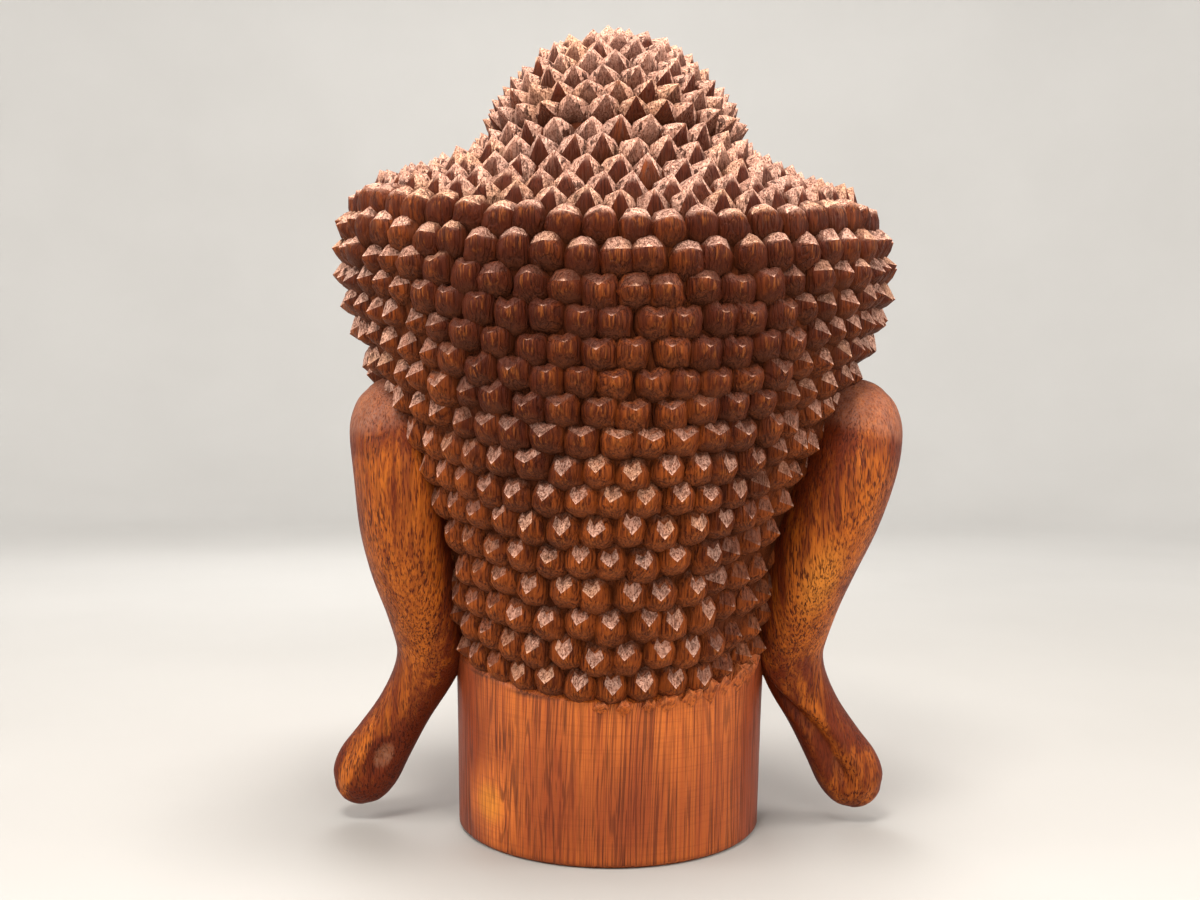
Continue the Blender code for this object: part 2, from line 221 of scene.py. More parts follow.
SKIN_LEVELS = (
    SkinLevel(0, 0.188, 0.004, 0.188, 0.004, 0.188, 0.004),
    SkinLevel(36, 0.193, 0.172, 0.193, 0.196, 0.193, 0.180),
    SkinLevel(12, 0.240, 0.184, 0.200, 0.232, 0.184, 0.226),
    SkinLevel(16, 0.262, 0.210, 0.210, 0.262, 0.190, 0.256),
    SkinLevel(30, 0.266, 0.286, 0.226, 0.326, 0.208, 0.312),
    SkinLevel(26, 0.269, 0.352, 0.242, 0.386, 0.230, 0.384),
    SkinLevel(38, 0.264, 0.450, 0.262, 0.464, 0.248, 0.464),
    SkinLevel(24, 0.272, 0.512, 0.272, 0.524, 0.258, 0.520),
    SkinLevel(20, 0.272, 0.580, 0.282, 0.576, 0.262, 0.576),
    SkinLevel(10, 0.258, 0.648, 0.296, 0.640, 0.264, 0.640),
    SkinLevel(4, 0.200, 0.740, 0.240, 0.740, 0.200, 0.725),
)
EAR_STATIONS = (
    EarStation(0.288, 0.549, 0.080, 0.018, 0.020, 0.00),
    EarStation(0.284, 0.538, 0.076, 0.038, 0.044, 0.00),
    EarStation(0.277, 0.516, 0.070, 0.054, 0.070, 0.20),
    EarStation(0.269, 0.484, 0.066, 0.062, 0.088, 0.42),
    EarStation(0.259, 0.438, 0.062, 0.065, 0.098, 0.48),
    EarStation(0.249, 0.386, 0.058, 0.064, 0.097, 0.46),
    EarStation(0.237, 0.332, 0.054, 0.058, 0.088, 0.38),
    EarStation(0.225, 0.276, 0.048, 0.050, 0.070, 0.26),
    EarStation(0.219, 0.230, 0.040, 0.046, 0.052, 0.12),
    EarStation(0.229, 0.190, 0.032, 0.038, 0.040, 0.00),
    EarStation(0.250, 0.146, 0.026, 0.034, 0.034, 0.00),
    EarStation(0.273, 0.104, 0.022, 0.037, 0.032, 0.00),
    EarStation(0.293, 0.070, 0.018, 0.041, 0.030, 0.00),
    EarStation(0.308, 0.046, 0.016, 0.036, 0.026, 0.00),
    EarStation(0.318, 0.031, 0.015, 0.022, 0.016, 0.00),
)


class Signal:
    """A number that varies over the wood: one socket, whose arithmetic adds Math nodes."""

    def __init__(self, shader: "Shader", socket: Socket) -> None:
        """Wrap one output socket of a shader's tree."""
        self.shader = shader
        self.socket = socket

    def _math(self, operation: str, *terms: "Signal | float") -> "Signal":
        """Result of one Math node fed with the terms in order."""
        node = self.shader.add("ShaderNodeMath", {"operation": operation}, dict(enumerate(terms)))
        return Signal(self.shader, node.outputs[0])

    def __add__(self, other: "Signal | float") -> "Signal":
        """Sum."""
        return self._math("ADD", self, other)

    def __sub__(self, other: "Signal | float") -> "Signal":
        """Difference."""
        return self._math("SUBTRACT", self, other)

    def __rsub__(self, other: float) -> "Signal":
        """Difference from a plain number."""
        return self._math("SUBTRACT", other, self)

    def __mul__(self, other: "Signal | float") -> "Signal":
        """Product."""
        return self._math("MULTIPLY", self, other)

    __radd__ = __add__
    __rmul__ = __mul__

    def over(self, low: float, high: float) -> "Signal":
        """Smooth step that is 0 where the number is at low and 1 where it is at high."""
        node = self.shader.add("ShaderNodeMapRange", {"interpolation_type": "SMOOTHSTEP"},
                               {"Value": self, "From Min": low, "From Max": high})
        return Signal(self.shader, node.outputs["Result"])

    def at_most(self, other: "Signal | float") -> "Signal":
        """The smaller of two numbers."""
        return self._math("MINIMUM", self, other)

    def wave(self) -> "Signal":
        """Sine of the number."""
        return self._math("SINE", self)


class Nodes:
    """Node tree with one method that adds every kind of node."""

    def __init__(self, tree: bpy.types.NodeTree) -> None:
        """Take up the tree that the nodes go into."""
        self.tree = tree

    def add(self, kind: str, settings: dict | None = None, sockets: dict | None = None) -> bpy.types.Node:
        """Add one node.

        Args:
            kind: type of the node.
            settings: the node's own properties, set before its sockets.
            sockets: values or links, by the name or the number of each input.

        Returns:
            The new node.
        """
        node = self.tree.nodes.new(kind)
        for name, value in (settings or {}).items():
            setattr(node, name, value)
        for key, value in (sockets or {}).items():
            self.feed(node.inputs[key], value)
        return node

    def feed(self, target: Socket, value: object) -> None:
        """Link or set one input; a colour is given without its alpha."""
        if isinstance(value, Signal):
            value = value.socket
        if isinstance(value, Socket):
            self.tree.links.new(value, target)
        else:
            target.default_value = (*value, 1.0) if target.type == "RGBA" else value


class Shader(Nodes):
    """Node tree of one material around its Principled shader."""

    def __init__(self, name: str) -> None:
        """Start a material of that name."""
        self.material = bpy.data.materials.new(name)
        self.material.use_nodes = True
        super().__init__(self.material.node_tree)
        self.surface = self.tree.nodes["Principled BSDF"]
        self.place = self.add("ShaderNodeTexCoord").outputs["Object"]

    def finish(self, **inputs: object) -> bpy.types.Material:
        """Feed the inputs of the surface, named with underscores, and give the finished material."""
        for name, value in inputs.items():
            self.feed(self.surface.inputs[name.replace("_", " ")], value)
        return self.material

    def cloud(self, across: float, along: float, detail: float = 2.0, place: Socket | None = None,
              roughness: float = 0.5) -> bpy.types.Node:
        """Noise with its own number of waves for each metre across the log and along it."""
        stretched = self.add("ShaderNodeVectorMath", {"operation": "MULTIPLY"},
                             {0: place or self.place, 1: (across, across, along)}).outputs[0]
        return self.add("ShaderNodeTexNoise", {}, {
            "Vector": stretched, "Scale": 1.0, "Detail": detail, "Roughness": roughness})

    def noise(self, *terms: object) -> Signal:
        """Level of the noise that the same terms give as a cloud."""
        return Signal(self, self.cloud(*terms).outputs[0])

    def attribute(self, name: str) -> Signal:
        """Number stored on the mesh."""
        return Signal(self, self.add("ShaderNodeAttribute", {"attribute_name": name}).outputs["Fac"])

    def mix(self, share: Signal | float, low: object, high: object) -> Socket:
        """Colour between two colours."""
        return self.add("ShaderNodeMix", {"data_type": "RGBA"}, {0: share, 6: low, 7: high}).outputs[2]

    def facing_up(self) -> Signal:
        """How far the surface faces along the log: 1 on end grain that looks up."""
        normal = self.add("ShaderNodeNewGeometry").outputs["Normal"]
        return Signal(self, self.add("ShaderNodeSeparateXYZ", {}, {0: normal}).outputs["Z"])


@dataclass(frozen=True)
class OiledHardwood:
    """Dense red-brown hardwood under oil, with its grain along the log."""

    name: str
    heart: Colour = (0.170, 0.026, 0.007)
    body: Colour = (0.370, 0.068, 0.014)
    amber: Colour = (0.620, 0.165, 0.022)
    sapwood: Colour = (0.760, 0.270, 0.035)
    end_grain: Colour = (0.520, 0.215, 0.120)
    end_amber: Colour = (0.620, 0.270, 0.110)
    end_grey: Colour = (0.330, 0.195, 0.145)
    pore: Colour = (0.062, 0.010, 0.003)
    grime: Colour = (0.036, 0.010, 0.005)
    dust: Colour = (0.160, 0.070, 0.040)
    streaks: Stretch = (260.0, 4.0)
    fibres: Stretch = (640.0, 9.0)
    pores: Stretch = (800.0, 20.0)
    figure: Stretch = (70.0, 8.0)
    line_turns: float = 60.0
    broad_share: float = 1.20
    streak_share: float = 0.30
    fibre_share: float = 0.45
    line_share: float = 0.62
    pore_share: float = 0.62
    crumb_share: float = 0.45
    scrape_share: float = 0.0
    gloss: float = 0.42
    shine: float = 0.22
    coat: float = 0.04
    coat_gloss: float = 0.32
    upward_pale: float = 0.0
    valley_grime: float = 0.80
    worn_tips: float = 0.0
    pale_tips: float = 0.0
    facet_dark: float = 0.0
    under_dust: float = 0.0
    bleach: float = 0.0
    bump_share: float = 0.45
    bump_depth: float = 0.0008
    rough_relief: float = 0.8

    def make(self) -> bpy.types.Material:
        """Build the material.

        Returns:
            The finished material, which reads the piece's own tone, tip, facet and pale attributes.
        """
        shader = Shader(self.name)
        noise, mix = shader.noise, shader.mix
        tone, tip, cut, paleness, calm = [shader.attribute(name) for name in (TONE, TIP, CUT, PALE, CALM)]
        facing_up = shader.facing_up()
        drift = shader.cloud(7.0, 2.0, 1.0).outputs["Color"]
        shifted = shader.add("ShaderNodeVectorMath", {"operation": "MULTIPLY_ADD"},
                             {0: drift, 1: (0.030, 0.030, 0.0), 2: shader.place}).outputs[0]
        broad = noise(22.0, 1.6, 3.0, shifted)
        streak = noise(*self.streaks, 4.0, shifted, 0.65)
        fibre = noise(*self.fibres, 2.0, shifted, 0.6)
        clumps = noise(70.0, 12.0).over(0.30, 0.62)
        lines = (noise(*self.figure, 1.0, shifted) * self.line_turns).wave().over(0.50, 0.98)
        lines = lines * (0.35 + clumps * 0.65) * (1.0 - calm)

        heartwood = (broad - 0.5) * self.broad_share + (streak - 0.5) * self.streak_share - tone * 0.55
        colour = mix(heartwood.over(-0.30, 0.30), self.amber, self.heart)
        colour = mix(fibre.over(0.30, 0.70) * 0.50 + 0.15, colour, self.body)
        colour = mix(tone.over(0.50, 1.05) * 0.85, colour, self.sapwood)
        colour = mix(fibre.over(0.53, 0.66) * self.fibre_share, colour, self.heart)
        colour = mix(lines * self.line_share, colour, self.pore)
        # Wear and painted glints: orange flecks on the body near each curl's tip.
        glints = noise(800.0, 110.0).over(0.48, 0.66)
        colour = mix(tip.over(0.74, 1.00) * (1.0 - cut) * self.worn_tips * glints, colour, self.sapwood)
        # Stain and painted shade: facets that show little end grain are darkened, against the lit front of
        # each curl.
        colour = mix(cut * (1.0 - paleness) * self.facet_dark, colour, self.heart)
        # Dust and painted bounce light: faces that look down are tinted grey-pink, as if lit from the floor
        # below.
        colour = mix((facing_up * -1.0).over(0.20, 0.80) * self.under_dust, colour, self.dust)
        colour = mix(noise(26.0, 900.0).over(0.50, 0.66) * self.scrape_share, colour, self.heart)

        rubbed, weathered = noise(240.0, 240.0), noise(26.0, 26.0)
        crumbs = noise(1300.0, 900.0, 1.0).over(0.54, 0.66) * self.crumb_share
        # End grain and painted top light: body wood that faces up is turned pale like bare end grain.
        upward = (facing_up + (streak - 0.5) * 0.3).over(0.35, 0.85) * self.upward_pale * (1.0 - cut)
        bleached = (paleness + (fibre - 0.5) * 0.8).over(1.05, 1.50) * self.bleach * (1.0 - cut)
        # Worn end grain and painted glints: the facets turn pale close to the tip.
        tip_grain_and_glints = cut * tip.over(0.85, 0.97) * self.pale_tips
        bared_and_lit = (cut + upward + bleached) * paleness * (0.60 + rubbed.over(0.30, 0.60) * 0.40)
        pale = (bared_and_lit + tip_grain_and_glints).at_most(1.0)
        speck = mix(0.45, self.body, self.amber)
        bare = mix(weathered.over(0.50, 0.66) * 0.6, self.end_grain, self.end_amber)
        bare = mix((1.0 - weathered).over(0.52, 0.70) * 0.5, bare, self.end_grey)
        bare = mix(crumbs, bare, speck)
        bare = mix(fibre.over(0.50, 0.64) * self.crumb_share * 0.6, bare, speck)
        colour = mix(pale, colour, bare)
        cracks = noise(330.0, 120.0, 3.0).over(0.54, 0.61) * pale * (1.0 - tip.over(0.50, 0.97))
        colour = mix(cracks * 0.90, colour, self.pore)

        pores = noise(*self.pores, 1.0, shifted).over(0.520, 0.650) * (0.40 + clumps * 0.60)
        speckle = pores * self.pore_share * (1.0 - pale * 0.6) * (1.0 - calm * 0.8)
        colour = mix(speckle, colour, self.pore)
        # Grime and painted shade: darker where the tip share is low, in the valleys between the curls, on the
        # gouged ground, and in the bare wood's painted groove and foot shadow.
        valley_patches = noise(60.0, 60.0, 3.0).over(0.30, 0.62)
        valley = (1.0 - tip).over(0.34, 0.86) * self.valley_grime * (0.65 + valley_patches * 0.35)
        colour = mix(valley, colour, self.grime)

        relief = streak * 0.4 + fibre * 0.45 - speckle - lines * 0.6
        relief = relief + (rubbed - crumbs) * pale * self.rough_relief
        bumped = shader.add("ShaderNodeBump", {}, {
            "Strength": self.bump_share, "Distance": self.bump_depth, "Height": relief}).outputs[0]
        rough = self.gloss + streak * 0.16 + pale * 0.22 + valley * 0.25 + speckle * 0.10
        return shader.finish(Base_Color=colour, Roughness=rough, Normal=bumped, Coat_Weight=self.coat,
                             Coat_Roughness=self.coat_gloss, Specular_IOR_Level=self.shine)


BARE_WOOD = OiledHardwood(
    "oiled_bare_wood", amber=(0.700, 0.185, 0.028), sapwood=(0.720, 0.240, 0.024), figure=(72.0, 1.4),
    line_turns=92.0, broad_share=0.70, scrape_share=0.18)
EAR_WOOD = OiledHardwood(
    "oiled_ear_wood", heart=(0.080, 0.011, 0.003), body=(0.250, 0.040, 0.007), amber=(0.560, 0.150, 0.014),
    pore=(0.042, 0.006, 0.002), end_grain=(0.310, 0.145, 0.100), end_grey=(0.180, 0.090, 0.066),
    end_amber=(0.330, 0.140, 0.072), pores=(1000.0, 150.0), fibres=(860.0, 90.0), streaks=(170.0, 11.0),
    line_share=0.25, fibre_share=0.85, pore_share=0.85, crumb_share=0.6, streak_share=1.35, shine=0.13,
    coat=0.02)
CHISELLED_WOOD = OiledHardwood(
    "oiled_chiselled_wood", heart=(0.042, 0.006, 0.002), body=(0.112, 0.020, 0.004),
    amber=(0.310, 0.068, 0.010), sapwood=(0.560, 0.165, 0.030), end_grain=(0.830, 0.470, 0.350),
    end_amber=(0.850, 0.465, 0.275), end_grey=(0.480, 0.330, 0.275), pore=(0.030, 0.005, 0.002),
    grime=(0.056, 0.013, 0.003), pores=(900.0, 80.0), fibres=(900.0, 60.0), streaks=(300.0, 14.0),
    figure=(70.0, 6.0), line_turns=80.0, line_share=0.40, fibre_share=0.80, streak_share=0.95,
    pore_share=0.50, crumb_share=0.70, shine=0.09, coat=0.0, gloss=0.46, upward_pale=0.75,
    valley_grime=0.78, worn_tips=0.28, pale_tips=0.50, facet_dark=0.50, under_dust=0.28,
    bleach=0.28, bump_share=1.0, rough_relief=2.6)


def mesh_object(name: str, points: np.ndarray, faces: Sequence[Sequence[int]]) -> bpy.types.Object:
    """Mesh object at the origin whose faces point outwards.

    Args:
        name: name of the object and of its mesh.
        points: places of the vertices, in metres.
        faces: vertex numbers of each face.

    Returns:
        The object, linked to the scene.
    """
    mesh = bpy.data.meshes.new(name)
    mesh.from_pydata([tuple(point) for point in np.asarray(points, float)], [], faces)
    form = bmesh.new()
    form.from_mesh(mesh)
    bmesh.ops.recalc_face_normals(form, faces=form.faces[:])
    form.to_mesh(mesh)
    form.free()
    thing = bpy.data.objects.new(name, mesh)
    bpy.context.scene.collection.objects.link(thing)
    return thing


def swept(rings: Sequence[Sequence], ends: int = 2) -> tuple[np.ndarray, list[tuple[int, ...]]]:
    """Skin over closed rings of equal counts of points.

    Args:
        rings: the rings, one after another.
        ends: how many ends get a face of their own, the first ring before the last.

    Returns:
        The points in a row, and the vertex numbers of each face.
    """
    columns = len(rings[0])
    points = np.concatenate([np.array(ring, float) for ring in rings])
    faces = []
    for low in range(0, len(points) - columns, columns):
        for k in range(columns):
            after = (k + 1) % columns
            faces.append((low + k, low + after, low + columns + after, low + columns + k))
    caps = [tuple(range(columns)), tuple(range(len(points) - columns, len(points)))]
    return points, faces + caps[:ends]


def store(mesh: bpy.types.Mesh, name: str, values: Sequence[float], domain: str = "POINT") -> None:
    """Keep one number for each point or face of a mesh."""
    layer = mesh.attributes.new(name, "FLOAT", domain)
    layer.data.foreach_set("value", np.asarray(values, np.float32))


def settle(piece: bpy.types.Object) -> None:
    """Keep a finished piece inside the solid's box, and hand it to the frame."""
    places = np.array([vertex.co for vertex in piece.data.vertices], float)
    places = np.clip(places, np.array(CAD_BOX[0]), np.array(CAD_BOX[1]))
    piece.data.vertices.foreach_set("co", places.astype(np.float32).ravel())
    piece.data.update()
    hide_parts(CAD_NODE)
    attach(piece, BODY)
    triangles = sum(len(face.vertices) - 2 for face in piece.data.polygons)
    LOG.info("%s: %d triangles", piece.name, triangles)


class HairSurface:
    """The surface that the curl tips touch, by row and by angle from the back."""

    top_row = 28
    reading_step = 0.05
    row_samples = 90
    angle_samples = 180
    knots = [level.row for level in HAIR_ROWS]
    columns = {name: [getattr(level, name) for level in HAIR_ROWS] for name in HairRow._fields}

    def at(self, name: str, row: float) -> float:
        """One reach or height of the surface at a row."""
        return smooth_between(self.columns[name], self.knots, row)

    def point(self, row: float, angle: float) -> Vector:
        """Point of the surface in shares of the height; angle 0 is the back."""
        end = "back" if math.cos(angle) > 0.0 else "front"
        across = self.at("side", row) * math.sin(angle)
        height = blend(self.at("side_z", row), self.at(end + "_z", row), math.cos(angle) ** 2)
        height += HAIR_SLANT * across * ease(2, 12, row)
        return Vector((across, self.at(end, row) * math.cos(angle), height))

    def axes(self, row: float, angle: float) -> tuple[Vector, Vector]:
        """Outward direction and upward direction along the surface."""
        step = self.reading_step
        if row > self.top_row - step:
            return Vector((0.0, 0.0, 1.0)), Vector((0.0, -1.0, 0.0))
        along = self.point(row, angle + step) - self.point(row, angle - step)
        up = self.point(row + step, angle) - self.point(row - step, angle)
        outward = up.cross(along).normalized()
        return outward, (up - outward * up.dot(outward)).normalized()

    def length(self, row: float) -> float:
        """Length of a row all the way round, in shares of the height."""
        samples = self.row_samples
        return run_lengths([self.point(row, math.tau * k / samples) for k in range(samples + 1)])[-1]

    def even_angles(self, row: float, count: int, start: float) -> list[float]:
        """Angles that part a row into equal lengths, from a start in shares of one length."""
        angles = [math.tau * k / self.angle_samples for k in range(self.angle_samples + 1)]
        lengths = run_lengths([self.point(row, angle) for angle in angles])
        wanted = lengths[-1] * (((np.arange(count) + start) / count) % 1.0)
        return [float(angle) for angle in np.interp(wanted, lengths, angles)]


class BudStyle(Enum):
    """Ways in which the chisel left a curl; the value orders the buds."""

    TULIP = 0
    BARREL = 1
    TOOTH = 2
    SHELF = 3
    ROOF = 4


@dataclass(frozen=True)
class Bud:
    """One curl: a stud whose top is cut by two chisel facets that meet above its tip.

    The stud is a fan of rays from the tip to its rim. Ray 0 points up the head and lies in the crease
    between the facets. The next rays end on the edge of a facet, and the rest round the body. A point
    is given by its place aside and up in shares of the spacing, and its level in shares of the depth.
    """

    style: BudStyle
    tip_up: float
    depth: float
    roundness: float
    facet: tuple[tuple[float, float, float], ...]
    body: tuple[tuple[float, float, float], ...]
    ring_shares: tuple[float, ...] = (0.45, 0.78)
    brow: float = 0.0
    brow_drop: float = 0.20
    skirt: float = 0.13
    sunk: float = -0.30
    unevenness: float = 0.11
    tip_wander: float = 0.06
    skew: float = 0.22

    def make(self, name: str, wander: random.Random) -> bpy.types.Object:
        """Build the stud with its tip at level 1 and its foot sunk below level 0.

        Args:
            name: name of the object.
            wander: source of the small differences between copies.

        Returns:
            The stud, with its tip share and its facets marked.
        """
        half_turn = self.facet + self.body
        corner, foot = len(self.facet) - 1, len(half_turn) - 1
        rays = 2 * foot
        tip = (wander.uniform(-0.08, 0.08), self.tip_up + wander.uniform(-self.tip_wander, self.tip_wander))
        skew = wander.uniform(-self.skew, self.skew)
        rings: list[list[tuple[float, float, float]]] = [[] for _ in range(len(self.ring_shares) + 3)]
        for ray in range(rays):
            turn, sign = (ray, -1.0) if ray <= foot else (rays - ray, 1.0)
            side, up, level = half_turn[turn]
            side = sign * side * wander.uniform(1.0 - self.unevenness, 1.0 + self.unevenness)
            side += wander.uniform(-self.tip_wander, self.tip_wander) * (turn == 0)
            up *= wander.uniform(1.0 - self.unevenness, 1.0 + self.unevenness)
            level = max(level + skew * side, 0.0)
            fall = 1.0 if turn < corner else blend(1.0, self.roundness, min((turn - corner + 0.5) / 2.0, 1.0))
            for ring, share in zip(rings, self.ring_shares):
                drop = (1.0 - level) * share ** fall
                ring.append((blend(tip[0], side, share), blend(tip[1], up, share), 1.0 - drop))
            rings[-3].append((side, up, level))
            reach = math.hypot(side, up)
            brow = self.brow if turn <= corner else 0.2 * self.brow
            shoulder, beyond = 1.0 + (0.02 + brow) / reach, 1.0 + (self.skirt + brow) / reach
            rings[-2].append((side * shoulder, up * shoulder, level - self.brow_drop * (0.3 + brow / 0.10)))
            rings[-1].append((side * beyond, up * beyond, self.sunk))
        points = [(tip[0], tip[1], 1.0)] + [point for ring in rings for point in ring]
        faces, facets = [], []
        for ray in range(rays):
            after = (ray + 1) % rays
            cut = min(ray, rays - 1 - ray) < corner
            faces.append((0, 1 + ray, 1 + after))
            facets.append(cut)
            for ring in range(len(rings) - 1):
                low = 1 + ring * rays
                faces.append((low + ray, low + rays + ray, low + rays + after, low + after))
                facets.append(cut and ring < len(self.ring_shares))
        mesh = bpy.data.meshes.new(name)
        mesh.from_pydata(points, [], faces)
        store(mesh, TIP, [max(point[2], 0.0) for point in points])
        store(mesh, CUT, [float(facet) for facet in facets], "FACE")
        mesh.polygons.foreach_set("use_smooth", [not facet for facet in facets])
        return bpy.data.objects.new(name, mesh)


BUDS = (
    Bud(BudStyle.TULIP, 0.04, 1.00, 2.3, ((0.0, 0.32, 0.52), (0.17, 0.47, 0.40), (0.27, 0.26, 0.70)),
        ((0.46, 0.12, 0.46), (0.47, -0.16, 0.46), (0.38, -0.40, 0.38), (0.20, -0.52, 0.32),
         (0.0, -0.56, 0.28)),
        brow=0.09),
    Bud(BudStyle.BARREL, 0.14, 0.95, 2.4, ((0.0, 0.30, 0.68), (0.22, 0.46, 0.48), (0.40, 0.38, 0.50)),
        ((0.48, 0.14, 0.50), (0.48, -0.18, 0.48), (0.40, -0.41, 0.40), (0.21, -0.52, 0.34),
         (0.0, -0.56, 0.31)),
        brow=0.07, skirt=0.10, skew=0.34),
    Bud(BudStyle.TOOTH, 0.10, 1.20, 1.45, ((0.0, 0.42, 0.58), (0.24, 0.50, 0.26), (0.43, 0.16, 0.42)),
        ((0.48, -0.06, 0.34), (0.44, -0.28, 0.28), (0.32, -0.44, 0.22), (0.16, -0.53, 0.16),
         (0.0, -0.56, 0.14)),
        brow=0.03),
    Bud(BudStyle.SHELF, 0.22, 1.08, 2.6, ((0.0, 0.50, 0.60), (0.25, 0.48, 0.48), (0.41, 0.22, 0.56)),
        ((0.47, 0.04, 0.54), (0.47, -0.22, 0.46), (0.38, -0.42, 0.38), (0.20, -0.52, 0.32),
         (0.0, -0.55, 0.28)),
        brow=0.04, skew=0.30),
    Bud(BudStyle.ROOF, 0.26, 1.25, 1.05, ((0.0, 0.56, 0.54), (0.36, 0.47, 0.34), (0.53, 0.06, 0.26),
                                          (0.44, -0.42, 0.0)),
        ((0.32, -0.49, 0.01), (0.16, -0.53, 0.03), (0.0, -0.55, 0.04)), skirt=0.10, skew=0.30),
)


class CurlPlace(NamedTuple):
    """Where one curl stands, and how wide and tall its share of the scalp is."""

    row: float
    angle: float
    width: float
    height: float


@dataclass
class CurledHair:
    """The hair: a domed scalp and one chiselled stud on each place of the staggered rows."""

    spacing: float = 0.038
    depth: float = 0.022
    valley_cut: float = -0.003
    crown_valley_cut: float = 0.006
    drift: float = 0.10
    seed: int = 11
    curl_degrees: float = 9.0
    border_inset: float = 0.6
    border_samples: int = 360
    full_row_inset: float = 1.25
    fewest_in_row: int = 5
    roof_row: float = 15.5
    shelf_row: float = 12.8
    shelf_degrees: float = 64.0
    barrel_row: float = 7.4
    tooth_degrees: float = 36.0
    low_left_row: float = 7.0
    low_left_tooth_degrees: float = 60.0
    stud_overlap: float = 1.04
    copies: int = 5
    depth_wander: float = 0.10
    twist_degrees: float = 7.0
    scalp_columns: int = 96
    scalp_rings: int = 52
    scalp_inset: float = 0.15
    scalp_turn_in: float = 0.88

    def __post_init__(self) -> None:
        """Take up the surface that the tips touch."""
        self.surface = HairSurface()

    def edge_row(self, angle: float, inset: float) -> float:
        """Row of the line that keeps an inset, counted in curls, from the lower edge of the hair."""
        degrees = abs(math.degrees(math.remainder(angle, math.tau))) + inset * self.curl_degrees
        for low, high in zip(HAIRLINE, HAIRLINE[1:]):
            if degrees <= high.degrees:
                share = (degrees - low.degrees) / (high.degrees - low.degrees)
                return blend(low.row, high.row, share) + inset
        return HAIRLINE[-1].row + inset

    def row_step(self, row: float, angle: float) -> float:
        """Distance from one row to the next around a place."""
        low, high = max(row - 0.5, -1.0), min(row + 0.5, float(self.surface.top_row))
        return (self.surface.point(high, angle) - self.surface.point(low, angle)).length / (high - low)

    def border(self, wander: random.Random) -> list[CurlPlace]:
        """Curls of the border row, which keeps an even distance from the lower edge."""
        angles = [math.tau * k / self.border_samples for k in range(self.border_samples + 1)]
        rows = [self.edge_row(angle, self.border_inset) for angle in angles]
        lengths = run_lengths([self.surface.point(row, angle) for row, angle in zip(rows, angles)])
        count = round(lengths[-1] / self.spacing)
        places = []
        for number in range(count):
            angle = float(np.interp(lengths[-1] * number / count, lengths, angles))
            row = float(np.interp(angle, angles, rows)) + wander.uniform(-self.drift, self.drift)
            places.append(CurlPlace(row, angle, self.spacing, self.row_step(row, angle)))
        return places

    def places(self) -> list[CurlPlace]:
        """Every curl, staggered from row to row and a little uneven."""
        wander = random.Random(self.seed)
        top = self.surface.top_row
        places = [CurlPlace(float(top), 0.0, self.spacing, self.spacing)] + self.border(wander)
        for row in range(1, top):
            length = self.surface.length(row)
            count = max(self.fewest_in_row, round(length / self.spacing))
            for angle in self.surface.even_angles(row, count, 0.5 * (row % 2)):
                if row < self.edge_row(angle, self.full_row_inset):
                    continue
                slip = wander.uniform(-self.drift, self.drift) * math.tau / count
                moved = row + wander.uniform(-self.drift, self.drift)
                places.append(CurlPlace(moved, angle + slip, length / count, self.row_step(row, angle)))
        return places

    def style_at(self, place: CurlPlace, wander: random.Random) -> BudStyle:
        """Way in which the curl at a place was cut."""
        row = place.row + wander.uniform(-0.4, 0.4)
        turned = abs(math.degrees(wrapped(place.angle))) + wander.uniform(-6.0, 6.0)
        low_left = row < self.low_left_row and place.angle < math.pi
        if row > self.roof_row:
            return BudStyle.ROOF
        if row > self.shelf_row and turned < self.shelf_degrees:
            return BudStyle.SHELF
        if turned > (self.low_left_tooth_degrees if low_left else self.tooth_degrees):
            return BudStyle.TOOTH
        return BudStyle.BARREL if row > self.barrel_row else BudStyle.TULIP

    def paleness(self, place: CurlPlace, wander: random.Random) -> float:
        """How far the facets of the curl at a place show pale bare end grain, with painted light: paler on
        the lit side of the head and further round to the sides.
        """
        turned = abs(math.degrees(wrapped(place.angle)))
        nape = 0.68 * ease(10.0, 6.0, place.row) * ease(42.0, 24.0, turned)
        # Painted light: facets on the +X side of the head are made paler than on the other side, as if lit
        # more, and paler still far round at the sides.
        lit = 0.90 if math.sin(place.angle) > 0.0 else 0.56
        side = (lit + 0.36 * ease(56.0, 80.0, turned)) * blend(0.22, 1.0, ease(3.5, 9.0, place.row))
        below = max(nape, blend(0.04, side, ease(26.0, 56.0, turned)))
        crown = 1.0 + 0.35 * ease(16.5, 20.0, place.row)
        return blend(below, crown, ease(12.8, 14.8, place.row)) * wander.uniform(0.75, 1.10)

    def tone(self, place: CurlPlace, wander: random.Random) -> float:
        """How much lighter the body of the curl at a place is: lighter at the nape, darker up the back and
        over the dome.
        """
        nape, upper = ease(9.5, 5.0, place.row), ease(9.0, 13.0, place.row)
        dome = ease(14.5, 16.5, place.row)
        return -0.10 + 0.46 * nape - 0.24 * upper - 0.25 * dome + wander.uniform(-0.12, 0.12)

